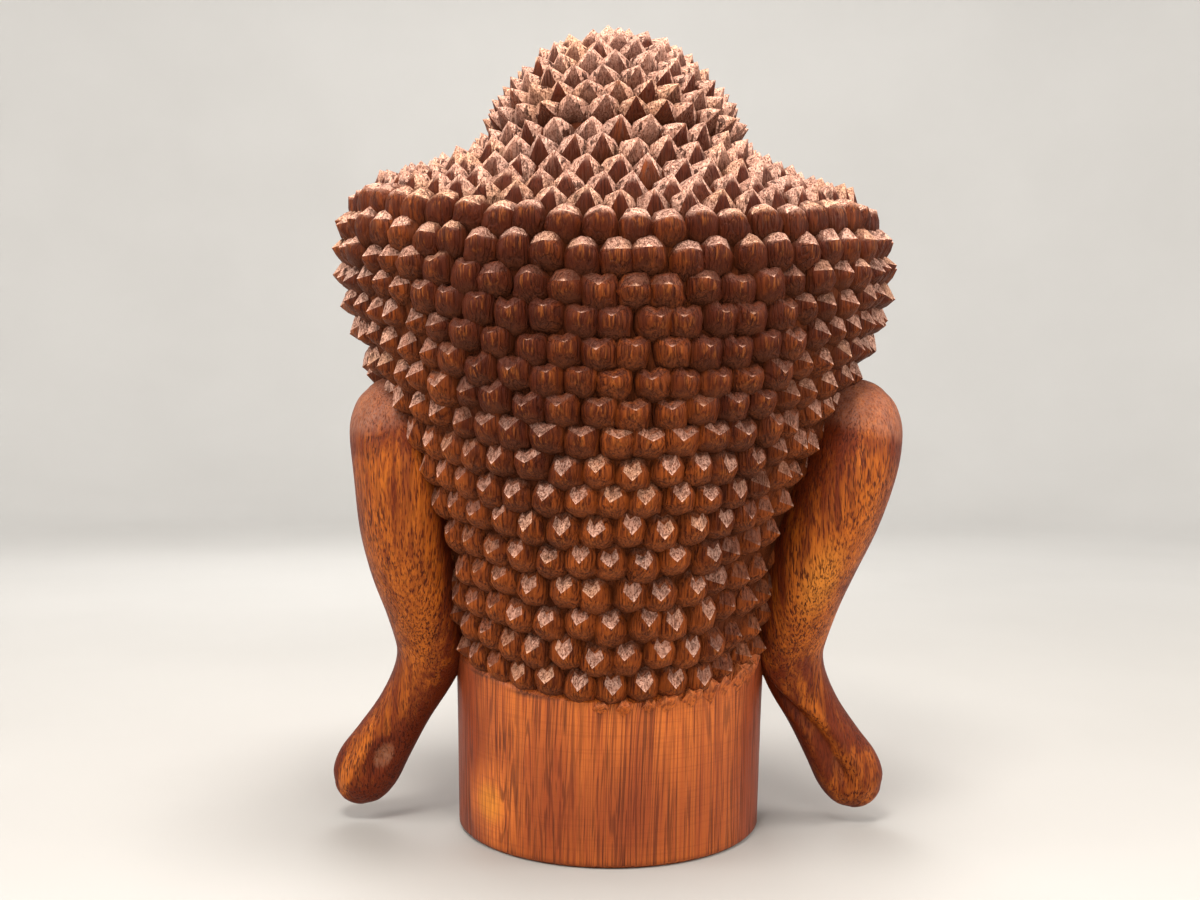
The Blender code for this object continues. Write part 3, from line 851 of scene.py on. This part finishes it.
    def points_object(self) -> bpy.types.Object:
        """One vertex for each curl, at its foot, with the axes, the size and the kind of its stud."""
        wander = random.Random(self.seed + 1)
        feet, out, up, size, kind, pale, tone = [], [], [], [], [], [], []
        for place in self.places():
            row = min(place.row, float(self.surface.top_row))
            outward, upward = self.surface.axes(row, place.angle)
            bud = BUDS[self.style_at(place, wander).value]
            depth = self.depth * bud.depth
            feet.append(self.surface.point(row, place.angle) - outward * depth)
            out.append(outward)
            up.append(upward)
            size.append(Vector((place.width, place.height * self.stud_overlap, depth)) * HEIGHT)
            kind.append(bud.style.value * self.copies + wander.randrange(self.copies))
            pale.append(self.paleness(place, wander))
            tone.append(self.tone(place, wander))
        thing = mesh_object("carved_curls", to_world(np.array(feet)), [])
        for name, vectors in (("curl_out", out), ("curl_up", up), ("curl_size", size)):
            layer = thing.data.attributes.new(name, "FLOAT_VECTOR", "POINT")
            layer.data.foreach_set("vector", np.array(vectors, np.float32).ravel())
        thing.data.attributes.new("bud_kind", "INT", "POINT").data.foreach_set("value", kind)
        store(thing.data, PALE, pale)
        store(thing.data, TONE, tone)
        return thing

    def bud_collection(self) -> bpy.types.Collection:
        """All kinds of stud, in the order that the kind numbers follow."""
        buds = bpy.data.collections.new("buds")
        wander = random.Random(self.seed + 2)
        for bud in BUDS:
            for copy in range(self.copies):
                number = bud.style.value * self.copies + copy
                buds.objects.link(bud.make(f"bud_{number:02d}", wander))
        return buds

    def scalp(self) -> bpy.types.Object:
        """The gouged ground between the curls, whose lower edge turns in under the bare wood."""
        rings = []
        angles = [math.tau * k / self.scalp_columns for k in range(self.scalp_columns)]
        for ring in range(self.scalp_rings):
            share = ring / self.scalp_rings
            level = []
            for angle in angles:
                row = blend(self.edge_row(angle, self.scalp_inset), self.surface.top_row, share)
                outward, _ = self.surface.axes(row, angle)
                cut = blend(self.valley_cut, self.crown_valley_cut, ease(14.0, 16.5, row))
                point = self.surface.point(row, angle) - outward * (self.depth + cut)
                if ring == 0:
                    point = Vector((point.x * self.scalp_turn_in, point.y * self.scalp_turn_in, point.z))
                level.append(tuple(point))
            rings.append(level)
        points, faces = swept(rings, 0)
        top = (0.0, 0.0, 1.0 - self.depth - self.crown_valley_cut)
        last = len(points) - self.scalp_columns
        faces += [(last + k, last + (k + 1) % self.scalp_columns, len(points))
                  for k in range(self.scalp_columns)]
        points = np.vstack([points, top])
        thing = mesh_object("scalp", to_world(points), faces)
        # A tip share of 0 gives the whole ground the grime and painted shade of the valleys.
        store(thing.data, TIP, np.zeros(len(points)))
        thing.data.shade_smooth()
        return thing

    def tree(self) -> bpy.types.NodeTree:
        """Nodes that set a stud on each foot, turn and sink it a little, and add the scalp.

        Returns:
            The node group, with its sizes as named inputs.
        """
        group = bpy.data.node_groups.new("curl_field", "GeometryNodeTree")
        group.interface.new_socket("Geometry", in_out="OUTPUT", socket_type="NodeSocketGeometry")
        for name, kind in (("Geometry", "Geometry"), ("Scalp", "Object"), ("Buds", "Collection"),
                           ("Depth Wander", "Float"), ("Twist", "Float"), ("Seed", "Int"),
                           ("Wood", "Material")):
            group.interface.new_socket(name, in_out="INPUT", socket_type="NodeSocket" + kind)
        field = Nodes(group)
        given = field.add("NodeGroupInput").outputs

        def get(node: str, settings: dict | None = None, sockets: dict | None = None) -> Socket:
            """First output of a new node."""
            return field.add(node, settings, sockets).outputs[0]

        def stored(name: str, kind: str = "FLOAT_VECTOR") -> Socket:
            """Value kept on the feet."""
            return get("GeometryNodeInputNamedAttribute", {"data_type": kind}, {"Name": name})

        def between(least: Socket, most: object) -> Socket:
            """Vector drawn at random for each foot."""
            return get("FunctionNodeRandomValue", {"data_type": "FLOAT_VECTOR"},
                       {0: least, 1: most, "Seed": given["Seed"]})

        buds = get("GeometryNodeCollectionInfo", {}, {
            "Collection": given["Buds"], "Separate Children": True, "Reset Children": True})
        turned = get("FunctionNodeAxesToRotation", {"primary_axis": "Z", "secondary_axis": "Y"},
                     {0: stored("curl_out"), 1: stored("curl_up")})
        sunk = get("ShaderNodeMath", {"operation": "SUBTRACT"}, {0: 1.0, 1: given["Depth Wander"]})
        least = get("ShaderNodeCombineXYZ", {}, {0: 0.96, 1: 0.96, 2: sunk})
        size = get("ShaderNodeVectorMath", {"operation": "MULTIPLY"},
                   {0: stored("curl_size"), 1: between(least, (1.04, 1.04, 1.0))})
        studs = get("GeometryNodeInstanceOnPoints", {}, {
            "Points": given["Geometry"], "Instance": buds, "Pick Instance": True,
            "Instance Index": stored("bud_kind", "INT"), "Rotation": turned, "Scale": size})
        high = get("ShaderNodeCombineXYZ", {}, {axis: given["Twist"] for axis in range(3)})
        low = get("ShaderNodeVectorMath", {"operation": "SCALE"}, {0: high, "Scale": -1.0})
        studs = get("GeometryNodeRotateInstances", {}, {"Instances": studs, "Rotation": between(low, high)})
        joined = field.add("GeometryNodeJoinGeometry")
        field.feed(joined.inputs[0], studs)
        scalp = field.add("GeometryNodeObjectInfo", {}, {"Object": given["Scalp"]}).outputs["Geometry"]
        field.feed(joined.inputs[0], scalp)
        whole = get("GeometryNodeRealizeInstances", {}, {0: joined.outputs[0]})
        painted = get("GeometryNodeSetMaterial", {}, {"Geometry": whole, "Material": given["Wood"]})
        field.add("NodeGroupOutput", {}, {0: painted})
        return group

    def build(self, wood: bpy.types.Material) -> bpy.types.Object:
        """Set all the curls and turn them into one plain mesh.

        Args:
            wood: finish of the curls and of the ground between them.

        Returns:
            The finished piece.
        """
        thing, scalp, buds = self.points_object(), self.scalp(), self.bud_collection()
        group = self.tree()
        setting = thing.modifiers.new("curl_field", "NODES")
        setting.node_group = group
        wanted = {"Scalp": scalp, "Buds": buds, "Depth Wander": self.depth_wander,
                  "Twist": math.radians(self.twist_degrees), "Seed": self.seed, "Wood": wood}
        for item in group.interface.items_tree:
            if item.in_out == "INPUT" and item.name in wanted:
                setting[item.identifier] = wanted[item.name]
        depsgraph = bpy.context.evaluated_depsgraph_get()
        mesh = bpy.data.meshes.new_from_object(thing.evaluated_get(depsgraph))
        thing.modifiers.remove(setting)
        mesh.name = thing.name
        thing.data = mesh
        for bud in list(buds.objects):
            bpy.data.objects.remove(bud)
        bpy.data.collections.remove(buds)
        bpy.data.objects.remove(scalp)
        settle(thing)
        return thing


class Hill(NamedTuple):
    """One rounded form of the face, on both sides of its middle; a hollow has a negative rise."""

    rise: float
    aside: float
    half_width: float
    z: float
    half_height: float


FACE_HILLS = {
    "tip of the nose": Hill(0.006, 0.0, 0.018, 0.368, 0.016),
    "wings of the nose": Hill(0.028, 0.032, 0.011, 0.361, 0.014),
    "folds beside the wings": Hill(-0.007, 0.049, 0.006, 0.366, 0.015),
    "nostrils": Hill(-0.014, 0.017, 0.008, 0.347, 0.006),
    "eye sockets": Hill(-0.026, 0.094, 0.060, 0.482, 0.022),
    "upper lids": Hill(0.027, 0.096, 0.047, 0.452, 0.021),
    "cheeks": Hill(0.010, 0.125, 0.060, 0.370, 0.060),
    "fullness of the mouth": Hill(0.007, 0.0, 0.050, 0.296, 0.036),
    "chin": Hill(0.020, 0.0, 0.052, 0.224, 0.028),
    "fold over the chin": Hill(-0.012, 0.0, 0.046, 0.2575, 0.0075),
}


def face_relief(x: np.ndarray, z: np.ndarray) -> np.ndarray:
    """How far the features stand forward of the plain face.

    Args:
        x: places across the face, in shares of the height.
        z: heights, in shares of the height.

    Returns:
        Relief in shares of the height, positive towards the front.
    """
    side = np.abs(x)
    hills = sum(hill.rise * bump(side - hill.aside, hill.half_width) * bump(z - hill.z, hill.half_height)
                for hill in FACE_HILLS.values())

    down = np.clip((0.512 - z) / 0.150, 0.0, 1.0)
    nose = blend(0.014, 0.056, down ** 1.2) * ease(0.340, 0.364, z) * (1.0 - ease(0.502, 0.534, z))
    nose = nose * bump(x, 0.016 + 0.015 * down)
    arch = np.sin(math.pi * np.clip((side - 0.012) / 0.19, 0.0, 1.0))
    brow = 0.017 * np.exp(-(np.abs(z - 0.508 - 0.030 * arch) / 0.011) ** 1.4)
    brow = brow * ease(0.004, 0.03, side) * (1.0 - ease(0.17, 0.21, side))

    reach = (side - 0.097) / 0.052
    lid_line = z - 0.431 - 0.009 * reach ** 2 + 0.002 * reach
    lids = 0.005 * bump(lid_line - 0.008, 0.005) + 0.006 * bump(lid_line + 0.010, 0.007)
    folds = -0.014 * bump(lid_line, 0.0045) - 0.006 * bump(z - 0.476 + 0.016 * reach ** 2, 0.0045)
    eyes = (lids + folds) * (1.0 - ease(0.82, 1.15, np.abs(reach)))

    bow = 0.003 * np.cos(np.clip(x / 0.013, -math.pi, math.pi))
    mouth_line = z - 0.292 - 0.007 * (side / 0.060) ** 2
    lip_edge = 0.021 - bow - mouth_line - 0.22 * side
    upper_lip = 0.018 * ease(0.0, 0.0045, lip_edge) * ease(-0.002, 0.009, mouth_line)
    lower_lip = 0.018 * bump(mouth_line + 0.0135, 0.0105) * bump(x, 0.040)
    parting = -0.012 * bump(mouth_line, 0.0042)
    lips = (upper_lip * bump(x, 0.056) + parting) * (1.0 - ease(0.050, 0.072, side)) + lower_lip
    groove = 0.002 * bump(side - 0.012, 0.006) - 0.004 * bump(x, 0.008)
    return hills + nose + brow + eyes + lips + groove * ease(0.304, 0.322, z) * (1.0 - ease(0.328, 0.348, z))


TAB_FACES = ((0, 1, 4), (1, 2, 4), (0, 4, 3), (4, 2, 5), (3, 4, 6), (4, 5, 6), (0, 3, 6), (5, 2, 6),
             (0, 6, 1), (1, 6, 2))


@dataclass
class BareWood:
    """The neck, the jaw and the face, and the core that runs on under the hair."""

    foot_ease: float = 0.004
    face_columns: int = 170
    nape_columns: int = 70
    face_edge_degrees: float = 75.0
    fullness: float = 0.88
    nape_hairline: float = 0.186
    side_hairline: float = 0.220
    under_hair_tuck: float = 0.14
    groove_drop: float = 0.001
    tab_seed: int = 5
    tab_count: int = 9
    tab_from_degrees: float = -58.0
    tab_step_degrees: float = 7.6
    tab_rise: float = -0.004
    tab_height: float = 0.015
    tab_half_width: float = 0.014
    tab_depth: float = 0.010
    face_calm: float = 0.65
    patch_degrees: float = 50.0
    patch_height: float = 0.028

    def angles(self) -> np.ndarray:
        """Angles of the columns from the middle of the face, closer together over the nose."""
        edge = math.radians(self.face_edge_degrees)
        half = self.face_columns // 2
        face = [edge * (k / half) ** 1.2 for k in range(half + 1)]
        rest = self.nape_columns // 2
        nape = [blend(edge, math.pi, k / rest) for k in range(1, rest)]
        half_turn = face + nape
        return np.array([-angle for angle in reversed(half_turn[1:])] + half_turn + [math.pi])

    def hairline(self, turned: float | np.ndarray) -> float | np.ndarray:
        """Height of the lower edge of the hair at an angle from the middle of the nape."""
        return blend(self.nape_hairline, self.side_hairline, np.sin(turned) ** 2)

    def ring(self, position: float, angles: np.ndarray) -> np.ndarray:
        """One closed ring of points, in shares of the height.

        Args:
            position: place between the listed levels, counted in levels.
            angles: angles of the columns.

        Returns:
            One point for each angle.
        """
        knots = list(range(len(SKIN_LEVELS)))
        level = {name: smooth_between([getattr(entry, name) for entry in SKIN_LEVELS], knots, position)
                 for name in SkinLevel._fields[1:]}
        facing = np.cos(angles)
        ahead = facing > 0.0
        height = blend(level["side_z"], np.where(ahead, level["front_z"], level["back_z"]), facing ** 2)
        squared = blend(1.0, self.fullness, ease(0.19, 0.25, height) * (1.0 - ease(0.42, 0.54, height)))
        x = level["side"] * np.copysign(np.abs(np.sin(angles)) ** squared, np.sin(angles))
        front = -level["front"] * np.abs(facing) ** squared
        front -= face_relief(x, height) * ease(0.0, 0.5, facing) * ease(0.186, 0.206, height)
        y = np.where(ahead, front, -level["back"] * facing)
        tuck = self.under_hair_tuck * ease(0.22, 0.40, -facing)
        tuck = tuck * ease(0.0, 0.02, height - self.hairline(angles))
        return np.stack([x * (1.0 - tuck), y * (1.0 - tuck), height], axis=1)

    def tabs(self) -> tuple[list[tuple[float, float, float]], list[tuple[int, ...]], list[float]]:
        """Pointed stubs of the next row, left standing on the neck between the lowest curls.

        Returns:
            Points in shares of the height, the faces between them, and how far each point is cut end grain.
        """
        wander = random.Random(self.tab_seed)
        points, faces, cut = [], [], []
        for number in range(self.tab_count):
            degrees = self.tab_from_degrees + number * self.tab_step_degrees + wander.uniform(-1.2, 1.2)
            turn = math.radians(degrees)
            share = blend(1.25, 0.70, number / (self.tab_count - 1))
            tall = self.tab_height * wander.uniform(0.70, 1.20) * share
            half = self.tab_half_width * wander.uniform(0.80, 1.15) * share
            stand = self.tab_depth * wander.uniform(0.7, 1.2)
            notch = half * wander.uniform(-0.15, 0.15)
            left, right = tall * wander.uniform(0.65, 1.0), tall * wander.uniform(0.65, 1.0)
            out = Vector((math.sin(turn), math.cos(turn), 0.0))
            along = Vector((out.y, -out.x, 0.0))
            foot = out * SKIN_LEVELS[1].back + Vector((0.0, 0.0, self.hairline(turn) + self.tab_rise))
            faces += [tuple(len(points) + corner for corner in corners) for corners in TAB_FACES]
            for aside, up, forward, end_grain in (
                    (-half, -0.25 * tall, -0.002, 0.0), (notch, -1.1 * tall, -0.002, 0.0),
                    (half, -0.25 * tall, -0.002, 0.0), (-0.50 * half, left, stand, 0.5),
                    (notch, 0.45 * tall, 1.1 * stand, 0.0), (0.50 * half, right, stand, 0.5),
                    (0.0, 1.3 * tall, -0.012, 1.0)):
                points.append(tuple(foot + out * forward + along * aside + Vector((0.0, 0.0, up))))
                cut.append(end_grain)
        return points, faces, cut

    def tones(self, points: np.ndarray) -> np.ndarray:
        """Lighter amber low on the neck and in one patch, darker towards its sides."""
        turned = np.degrees(np.arctan2(points[:, 0], points[:, 1]))
        neck = ease(0.125, 0.095, points[:, 2])
        patch = bump(turned - self.patch_degrees, 13.0) * bump(points[:, 2] - self.patch_height, 0.020)
        sides = ease(38.0, 72.0, np.abs(turned)) * neck
        low = bump(turned + 4.0, 30.0) * bump(points[:, 2] - 0.030, 0.026)
        return 0.20 * ease(0.05, 0.09, points[:, 2]) + 1.25 * patch - 0.70 * sides - 0.30 * low

    def clean_share(self, points: np.ndarray) -> np.ndarray:
        """1 away from painted shade, less in the painted shade of the groove under the curls and the painted
        contact shadow along the foot.
        """
        turned = np.arctan2(points[:, 0], points[:, 1])
        groove = bump(points[:, 2] - HEIGHT * self.hairline(turned) + self.groove_drop, 0.0022)
        groove = groove * ease(0.0, 0.25, np.cos(turned))
        return 1.0 - 0.75 * groove - 0.7 * bump(points[:, 2], 0.0016)

    def build(self, wood: bpy.types.Material) -> bpy.types.Object:
        """Sweep the rings into one closed skin.

        Args:
            wood: finish of the bare wood.

        Returns:
            The finished piece.
        """
        angles = self.angles()
        inner = SKIN_LEVELS[0].side - self.foot_ease
        rings = [np.stack([inner * np.sin(angles), -inner * np.cos(angles), np.zeros(len(angles))], axis=1)]
        rings.append(self.ring(0.0, angles))
        for number, level in enumerate(SKIN_LEVELS):
            rings += [self.ring(number - 1 + (step + 1) / level.rings, angles) for step in range(level.rings)]
        skin, faces = swept(rings)
        stubs, stub_faces, stub_cut = self.tabs()
        faces += [tuple(len(skin) + corner for corner in face) for face in stub_faces]
        points = to_world(np.concatenate([skin, np.array(stubs)]))
        piece = mesh_object("carved_face_and_neck", points, faces)
        store(piece.data, TONE, self.tones(points))
        # The tip share of the bare wood holds its painted shade, which the valley darkening of the finish
        # draws.
        store(piece.data, TIP, np.concatenate([self.clean_share(points[:len(skin)]), np.ones(len(stubs))]))
        store(piece.data, CUT, [0.0] * len(skin) + stub_cut)
        store(piece.data, PALE, np.full(len(points), 0.7))
        face = ease(0.02, -0.04, points[:, 1]) * ease(0.085, 0.105, points[:, 2])
        store(piece.data, CALM, self.face_calm * face)
        piece.data.materials.append(wood)
        piece.data.shade_smooth()
        piece.data.set_sharp_from_angle(angle=math.radians(50))
        settle(piece)
        return piece


class Side(Enum):
    """Side of the head that an ear is on; the value is its direction along X."""

    LEFT = 1
    RIGHT = -1


@dataclass
class LongEar:
    """One ear, from its crown at the temple down to the free tip of its lobe."""

    side: Side
    crown_reach: float
    lobe_reach: float
    sides: int = 72
    rings_per_station: int = 9
    cap_rings: int = 6
    crown_cap: float = 0.0035
    crown_cap_degrees: float = 66.0
    lobe_cap: float = 0.008
    lobe_cap_degrees: float = 50.0
    rough_from: float = 0.486
    rough_to: float = 0.506
    rough_share: float = 0.62
    hollow_at: float = 315.0
    hollow_width: float = 32.0

    def station(self, position: float) -> EarStation:
        """Section between two listed ones."""
        knots = list(range(len(EAR_STATIONS)))
        return EarStation(*[smooth_between([getattr(entry, name) for entry in EAR_STATIONS], knots, position)
                            for name in EarStation._fields])

    def carving(self, z: float, turn: np.ndarray, hollow: float) -> np.ndarray:
        """Share by which the carving draws each point of a section towards its middle.

        Args:
            z: height of the section, in shares of the overall height.
            turn: angles round the section; 0 is outward and a quarter turn is the rear.
            hollow: depth of the hollow of the shell there.

        Returns:
            One share for each angle.
        """
        def near(degrees: float, width: float) -> np.ndarray:
            """Hill over one part of the section."""
            return bump(wrapped(turn - math.radians(degrees)), math.radians(width))

        fold = near(self.hollow_at + 4.0, 8.0) * ease(0.30, 0.36, z) * ease(0.50, 0.46, z)
        shell = hollow * near(self.hollow_at, self.hollow_width) - 0.16 * hollow * fold
        if self.side is Side.RIGHT:
            ridge_at = blend(150.0, 84.0, ease(0.215, 0.115, z))
            groove, ridge = near(ridge_at + 23.0, 16.0), near(ridge_at - 6.0, 8.0)
            ridge_run = ease(0.235, 0.20, z) * ease(0.050, 0.075, z)
            dent = near(112.0, 14.0) * bump(z - 0.078, 0.015)
            return shell + ridge_run * (0.30 * groove - 0.07 * ridge) + 0.14 * dent
        scar = near(103.0, 15.0) * bump(z - 0.088, 0.016)
        flat = near(40.0, 24.0) * ease(0.105, 0.075, z)
        edge = near(76.0, 8.0) * ease(0.105, 0.085, z)
        return shell + 0.22 * scar + 0.12 * flat - 0.05 * edge

    def finish(self, z: float, degrees: np.ndarray) -> tuple[np.ndarray, np.ndarray]:
        """Wood tones and rough share of one section.

        Args:
            z: height of the section, in shares of the overall height.
            degrees: angles round the section; 0 is outward and 90 is the rear.

        Returns:
            How much lighter the wood is than the rest, and how rough and pale it is, for each angle.
        """
        rough = ease(self.rough_from, self.rough_to, z) * np.ones(len(degrees))
        rim, inner = bump(degrees - 2.0, 26.0), bump(degrees - 168.0, 38.0)
        on_lobe, under_crown = ease(0.235, 0.195, z), bump(z - 0.482, 0.014)
        if self.side is Side.LEFT:
            rim = rim * ease(0.44, 0.38, z)
            from_scar = np.hypot((degrees - 106.0) / 17.0, (z - 0.094) / 0.015)
            rough += 1.1 * ease(1.1, 0.8, from_scar)
            inner_band = bump(degrees - 140.0, 34.0) * on_lobe
            scar_rim = bump(from_scar - 1.35, 0.35) * (degrees < 112.0)
            lobe_rear = ease(74.0, 82.0, degrees) * ease(0.115, 0.095, z)
            lobe_light = bump(degrees - 56.0, 18.0) * ease(0.105, 0.085, z)
            dark = 0.45 * inner_band + 0.9 * scar_rim + 0.35 * lobe_rear - 0.55 * lobe_light
            dark += 0.22 * bump(z - 0.42, 0.06) + 0.35 * ease(0.485, 0.505, z)
        else:
            rough += 0.5 * bump(degrees - 108.0, 11.0) * bump(z - 0.082, 0.010)
            outer_band = ease(92.0, 70.0, np.abs(degrees)) * on_lobe * ease(0.075, 0.105, z)
            groove = bump(degrees - 116.0, 20.0) * bump(z - 0.100, 0.030)
            golden = bump(degrees - 84.0, 46.0) * bump(z - 0.32, 0.085)
            dark = 0.75 * outer_band + 0.6 * groove - 0.80 * golden
        return 0.06 - 0.75 * rim - 0.75 * inner - 0.40 * under_crown - dark, rough

    def section(self, position: float, swell: float = 1.0, beyond: float = 0.0) -> Section:
        """Points, tones and rough share of one closed ring.

        Args:
            position: place along the ear, counted in stations.
            swell: size of the ring against its full size, for the rounded ends.
            beyond: how far the ring is moved on past an end.

        Returns:
            The points in shares of the height, their wood tones, and how rough and pale they are.
        """
        here = self.station(position)
        ahead = self.station(min(position + 0.5, len(EAR_STATIONS) - 1))
        behind = self.station(max(position - 0.5, 0))
        reach = here.reach + blend(self.crown_reach * ease(0.30, 0.48, here.z), self.lobe_reach,
                                   ease(0.24, 0.06, here.z))
        along = Vector((ahead.reach - behind.reach, 0.0, ahead.z - behind.z)).normalized()
        middle = np.array((reach, here.middle_y, here.z)) + np.array(along) * beyond
        across = np.array((-along.z, 0.0, along.x))
        turn = np.arange(self.sides) * math.tau / self.sides
        cut = self.carving(here.z, turn, here.hollow)
        size = (1.0 - cut) * swell
        points = (middle + np.outer(np.cos(turn) * size * here.half_width, across)
                  + np.outer(np.sin(turn) * size * here.half_depth, (0.0, 1.0, 0.0)))
        points[:, 0] *= self.side.value
        tone, rough = self.finish(here.z, np.degrees(wrapped(turn)))
        return points, tone - 0.8 * np.clip(cut, 0.0, 1.0), rough

    def cap(self, position: float, length: float, degrees: float) -> list[Section]:
        """Rings that round off an end, from the full section to almost a point.

        Args:
            position: station at that end.
            length: how far the end bulges, in shares of the height; negative at the first station.
            degrees: angle of the round at which the cap takes over from the section.

        Returns:
            One section for each ring.
        """
        start = math.radians(degrees)
        rings = []
        for ring in range(self.cap_rings):
            turn = blend(start, math.pi / 2, (ring + 0.7) / self.cap_rings)
            bulge = (math.sin(turn) - math.sin(start)) / (1.0 - math.sin(start))
            rings.append(self.section(position, math.cos(turn) / math.cos(start), length * bulge))
        return rings

    def build(self, wood: bpy.types.Material) -> bpy.types.Object:
        """Sweep the sections into one closed ear.

        Args:
            wood: finish of the bare wood.

        Returns:
            The finished piece.
        """
        last = len(EAR_STATIONS) - 1
        steps = last * self.rings_per_station
        rings = self.cap(0.0, -self.crown_cap, self.crown_cap_degrees)[::-1]
        rings += [self.section(last * step / steps) for step in range(steps + 1)]
        rings += self.cap(float(last), self.lobe_cap, self.lobe_cap_degrees)
        points, faces = swept([ring for ring, _, _ in rings])
        points = to_world(points)
        piece = mesh_object(f"carved_ear_{self.side.name.lower()}", points, faces)
        store(piece.data, TONE, np.concatenate([tone for _, tone, _ in rings]))
        store(piece.data, TIP, np.ones(len(points)))
        store(piece.data, CUT, np.concatenate([rough for _, _, rough in rings]))
        store(piece.data, PALE, np.full(len(points), self.rough_share))
        piece.data.materials.append(wood)
        piece.data.shade_smooth()
        settle(piece)
        return piece


@dataclass
class Studio:
    """Plain pale floor that sweeps up all round, soft lights and the camera."""

    floor_radius: float = 2.2
    bend: float = 1.0
    wall_top: float = 3.4
    gap: float = 0.0002
    wall_lights: int = 6
    columns: int = 96
    camera_at: tuple[float, float, float] = (0.0067, 0.786, 0.2557)
    camera_down_degrees: float = 1.66
    camera_roll_degrees: float = 0.4
    lens: float = 37.35

    def floor(self) -> None:
        """Round floor whose edge turns up into a wall, open above."""
        profile = [(0.001, 0.0), (0.4, 0.0), (0.9, 0.0), (self.floor_radius, 0.0)]
        for k in range(1, 13):
            turn = math.pi / 2 * k / 12
            reach = self.floor_radius + self.bend * math.sin(turn)
            profile.append((reach, self.bend * (1.0 - math.cos(turn))))
        profile.append((self.floor_radius + self.bend, self.wall_top))
        turns = [math.tau * k / self.columns for k in range(self.columns)]
        rings = [[(reach * math.cos(turn), reach * math.sin(turn), z - self.gap) for turn in turns]
                 for reach, z in profile]
        points, faces = swept(rings, 1)
        sheet = mesh_object("studio_floor", points, faces)
        sheet.data.shade_smooth()
        shader = Shader("pale_floor")
        shade = shader.mix(shader.noise(3.0, 3.0, 3.0), (0.39, 0.378, 0.36), (0.43, 0.418, 0.40))
        sheet.data.materials.append(shader.finish(Base_Color=shade, Roughness=0.85, Specular_IOR_Level=0.15))

    def light(self, name: str, place: Sequence[float], power: float, size: float,
              tint: Sequence[float] = (1.0, 1.0, 1.0), target: Sequence[float] = (0.0, 0.0, 0.27)) -> None:
        """Soft square light that looks at the head."""
        lamp = bpy.data.lights.new(name, "AREA")
        lamp.energy, lamp.size, lamp.color = power, size, tint
        thing = bpy.data.objects.new(name, lamp)
        bpy.context.scene.collection.objects.link(thing)
        thing.location = place
        thing.rotation_euler = (Vector(target) - Vector(place)).to_track_quat("-Z", "Y").to_euler()
        thing.visible_camera = False

    def build(self) -> None:
        """Lay the floor, hang the lights and set up the camera."""
        self.floor()
        self.light("key_light", (0.25, 0.80, 1.50), 18.0, 0.40, (1.0, 0.95, 0.89))
        self.light("top_light", (-0.10, 0.15, 1.55), 20.6, 0.50, (1.0, 0.96, 0.92))
        self.light("low_light", (-0.70, 1.90, 0.70), 9.6, 0.50, (1.0, 0.92, 0.83))
        self.light("left_light", (1.20, 0.30, 0.80), 9.0, 0.50, (1.0, 0.97, 0.93))
        self.light("right_light", (-1.20, 0.25, 0.85), 10.0, 0.50, (1.0, 0.97, 0.93))
        self.light("face_light", (0.30, -1.30, 1.00), 13.0, 0.80)
        for k in range(self.wall_lights):
            turn = math.tau * (k + 0.5) / self.wall_lights
            x, y = math.cos(turn), math.sin(turn)
            self.light(f"wall_light_{k}", (1.5 * x, 1.5 * y, 1.7), 36.0, 0.8, target=(4.0 * x, 4.0 * y, 0.3))
        world = bpy.data.worlds.new("studio_air")
        world.use_nodes = True
        world.node_tree.nodes["Background"].inputs["Color"].default_value = (1.0, 0.95, 0.88, 1.0)
        world.node_tree.nodes["Background"].inputs["Strength"].default_value = 0.25
        bpy.context.scene.world = world
        bpy.context.scene.view_settings.view_transform = "Standard"
        lens = bpy.data.cameras.new("camera")
        lens.sensor_width, lens.lens = 36.0, self.lens
        camera = bpy.data.objects.new("camera", lens)
        bpy.context.scene.collection.objects.link(camera)
        camera.matrix_world = (Matrix.Translation(self.camera_at) @ Matrix.Rotation(math.pi, 4, "Z")
                               @ Matrix.Rotation(math.pi / 2 - math.radians(self.camera_down_degrees), 4, "X")
                               @ Matrix.Rotation(math.radians(self.camera_roll_degrees), 4, "Z"))
        bpy.context.scene.camera = camera


def main() -> None:
    """Build every piece and the studio around them."""
    logging.basicConfig(level=logging.INFO, format="%(name)s %(message)s")
    bare, ears, chiselled = BARE_WOOD.make(), EAR_WOOD.make(), CHISELLED_WOOD.make()
    CurledHair().build(chiselled)
    BareWood().build(bare)
    LongEar(Side.LEFT, -0.014, 0.008, rough_share=0.72).build(ears)
    LongEar(Side.RIGHT, 0.017, 0.006).build(ears)
    Studio().build()


if __name__ == "__main__":
    main()
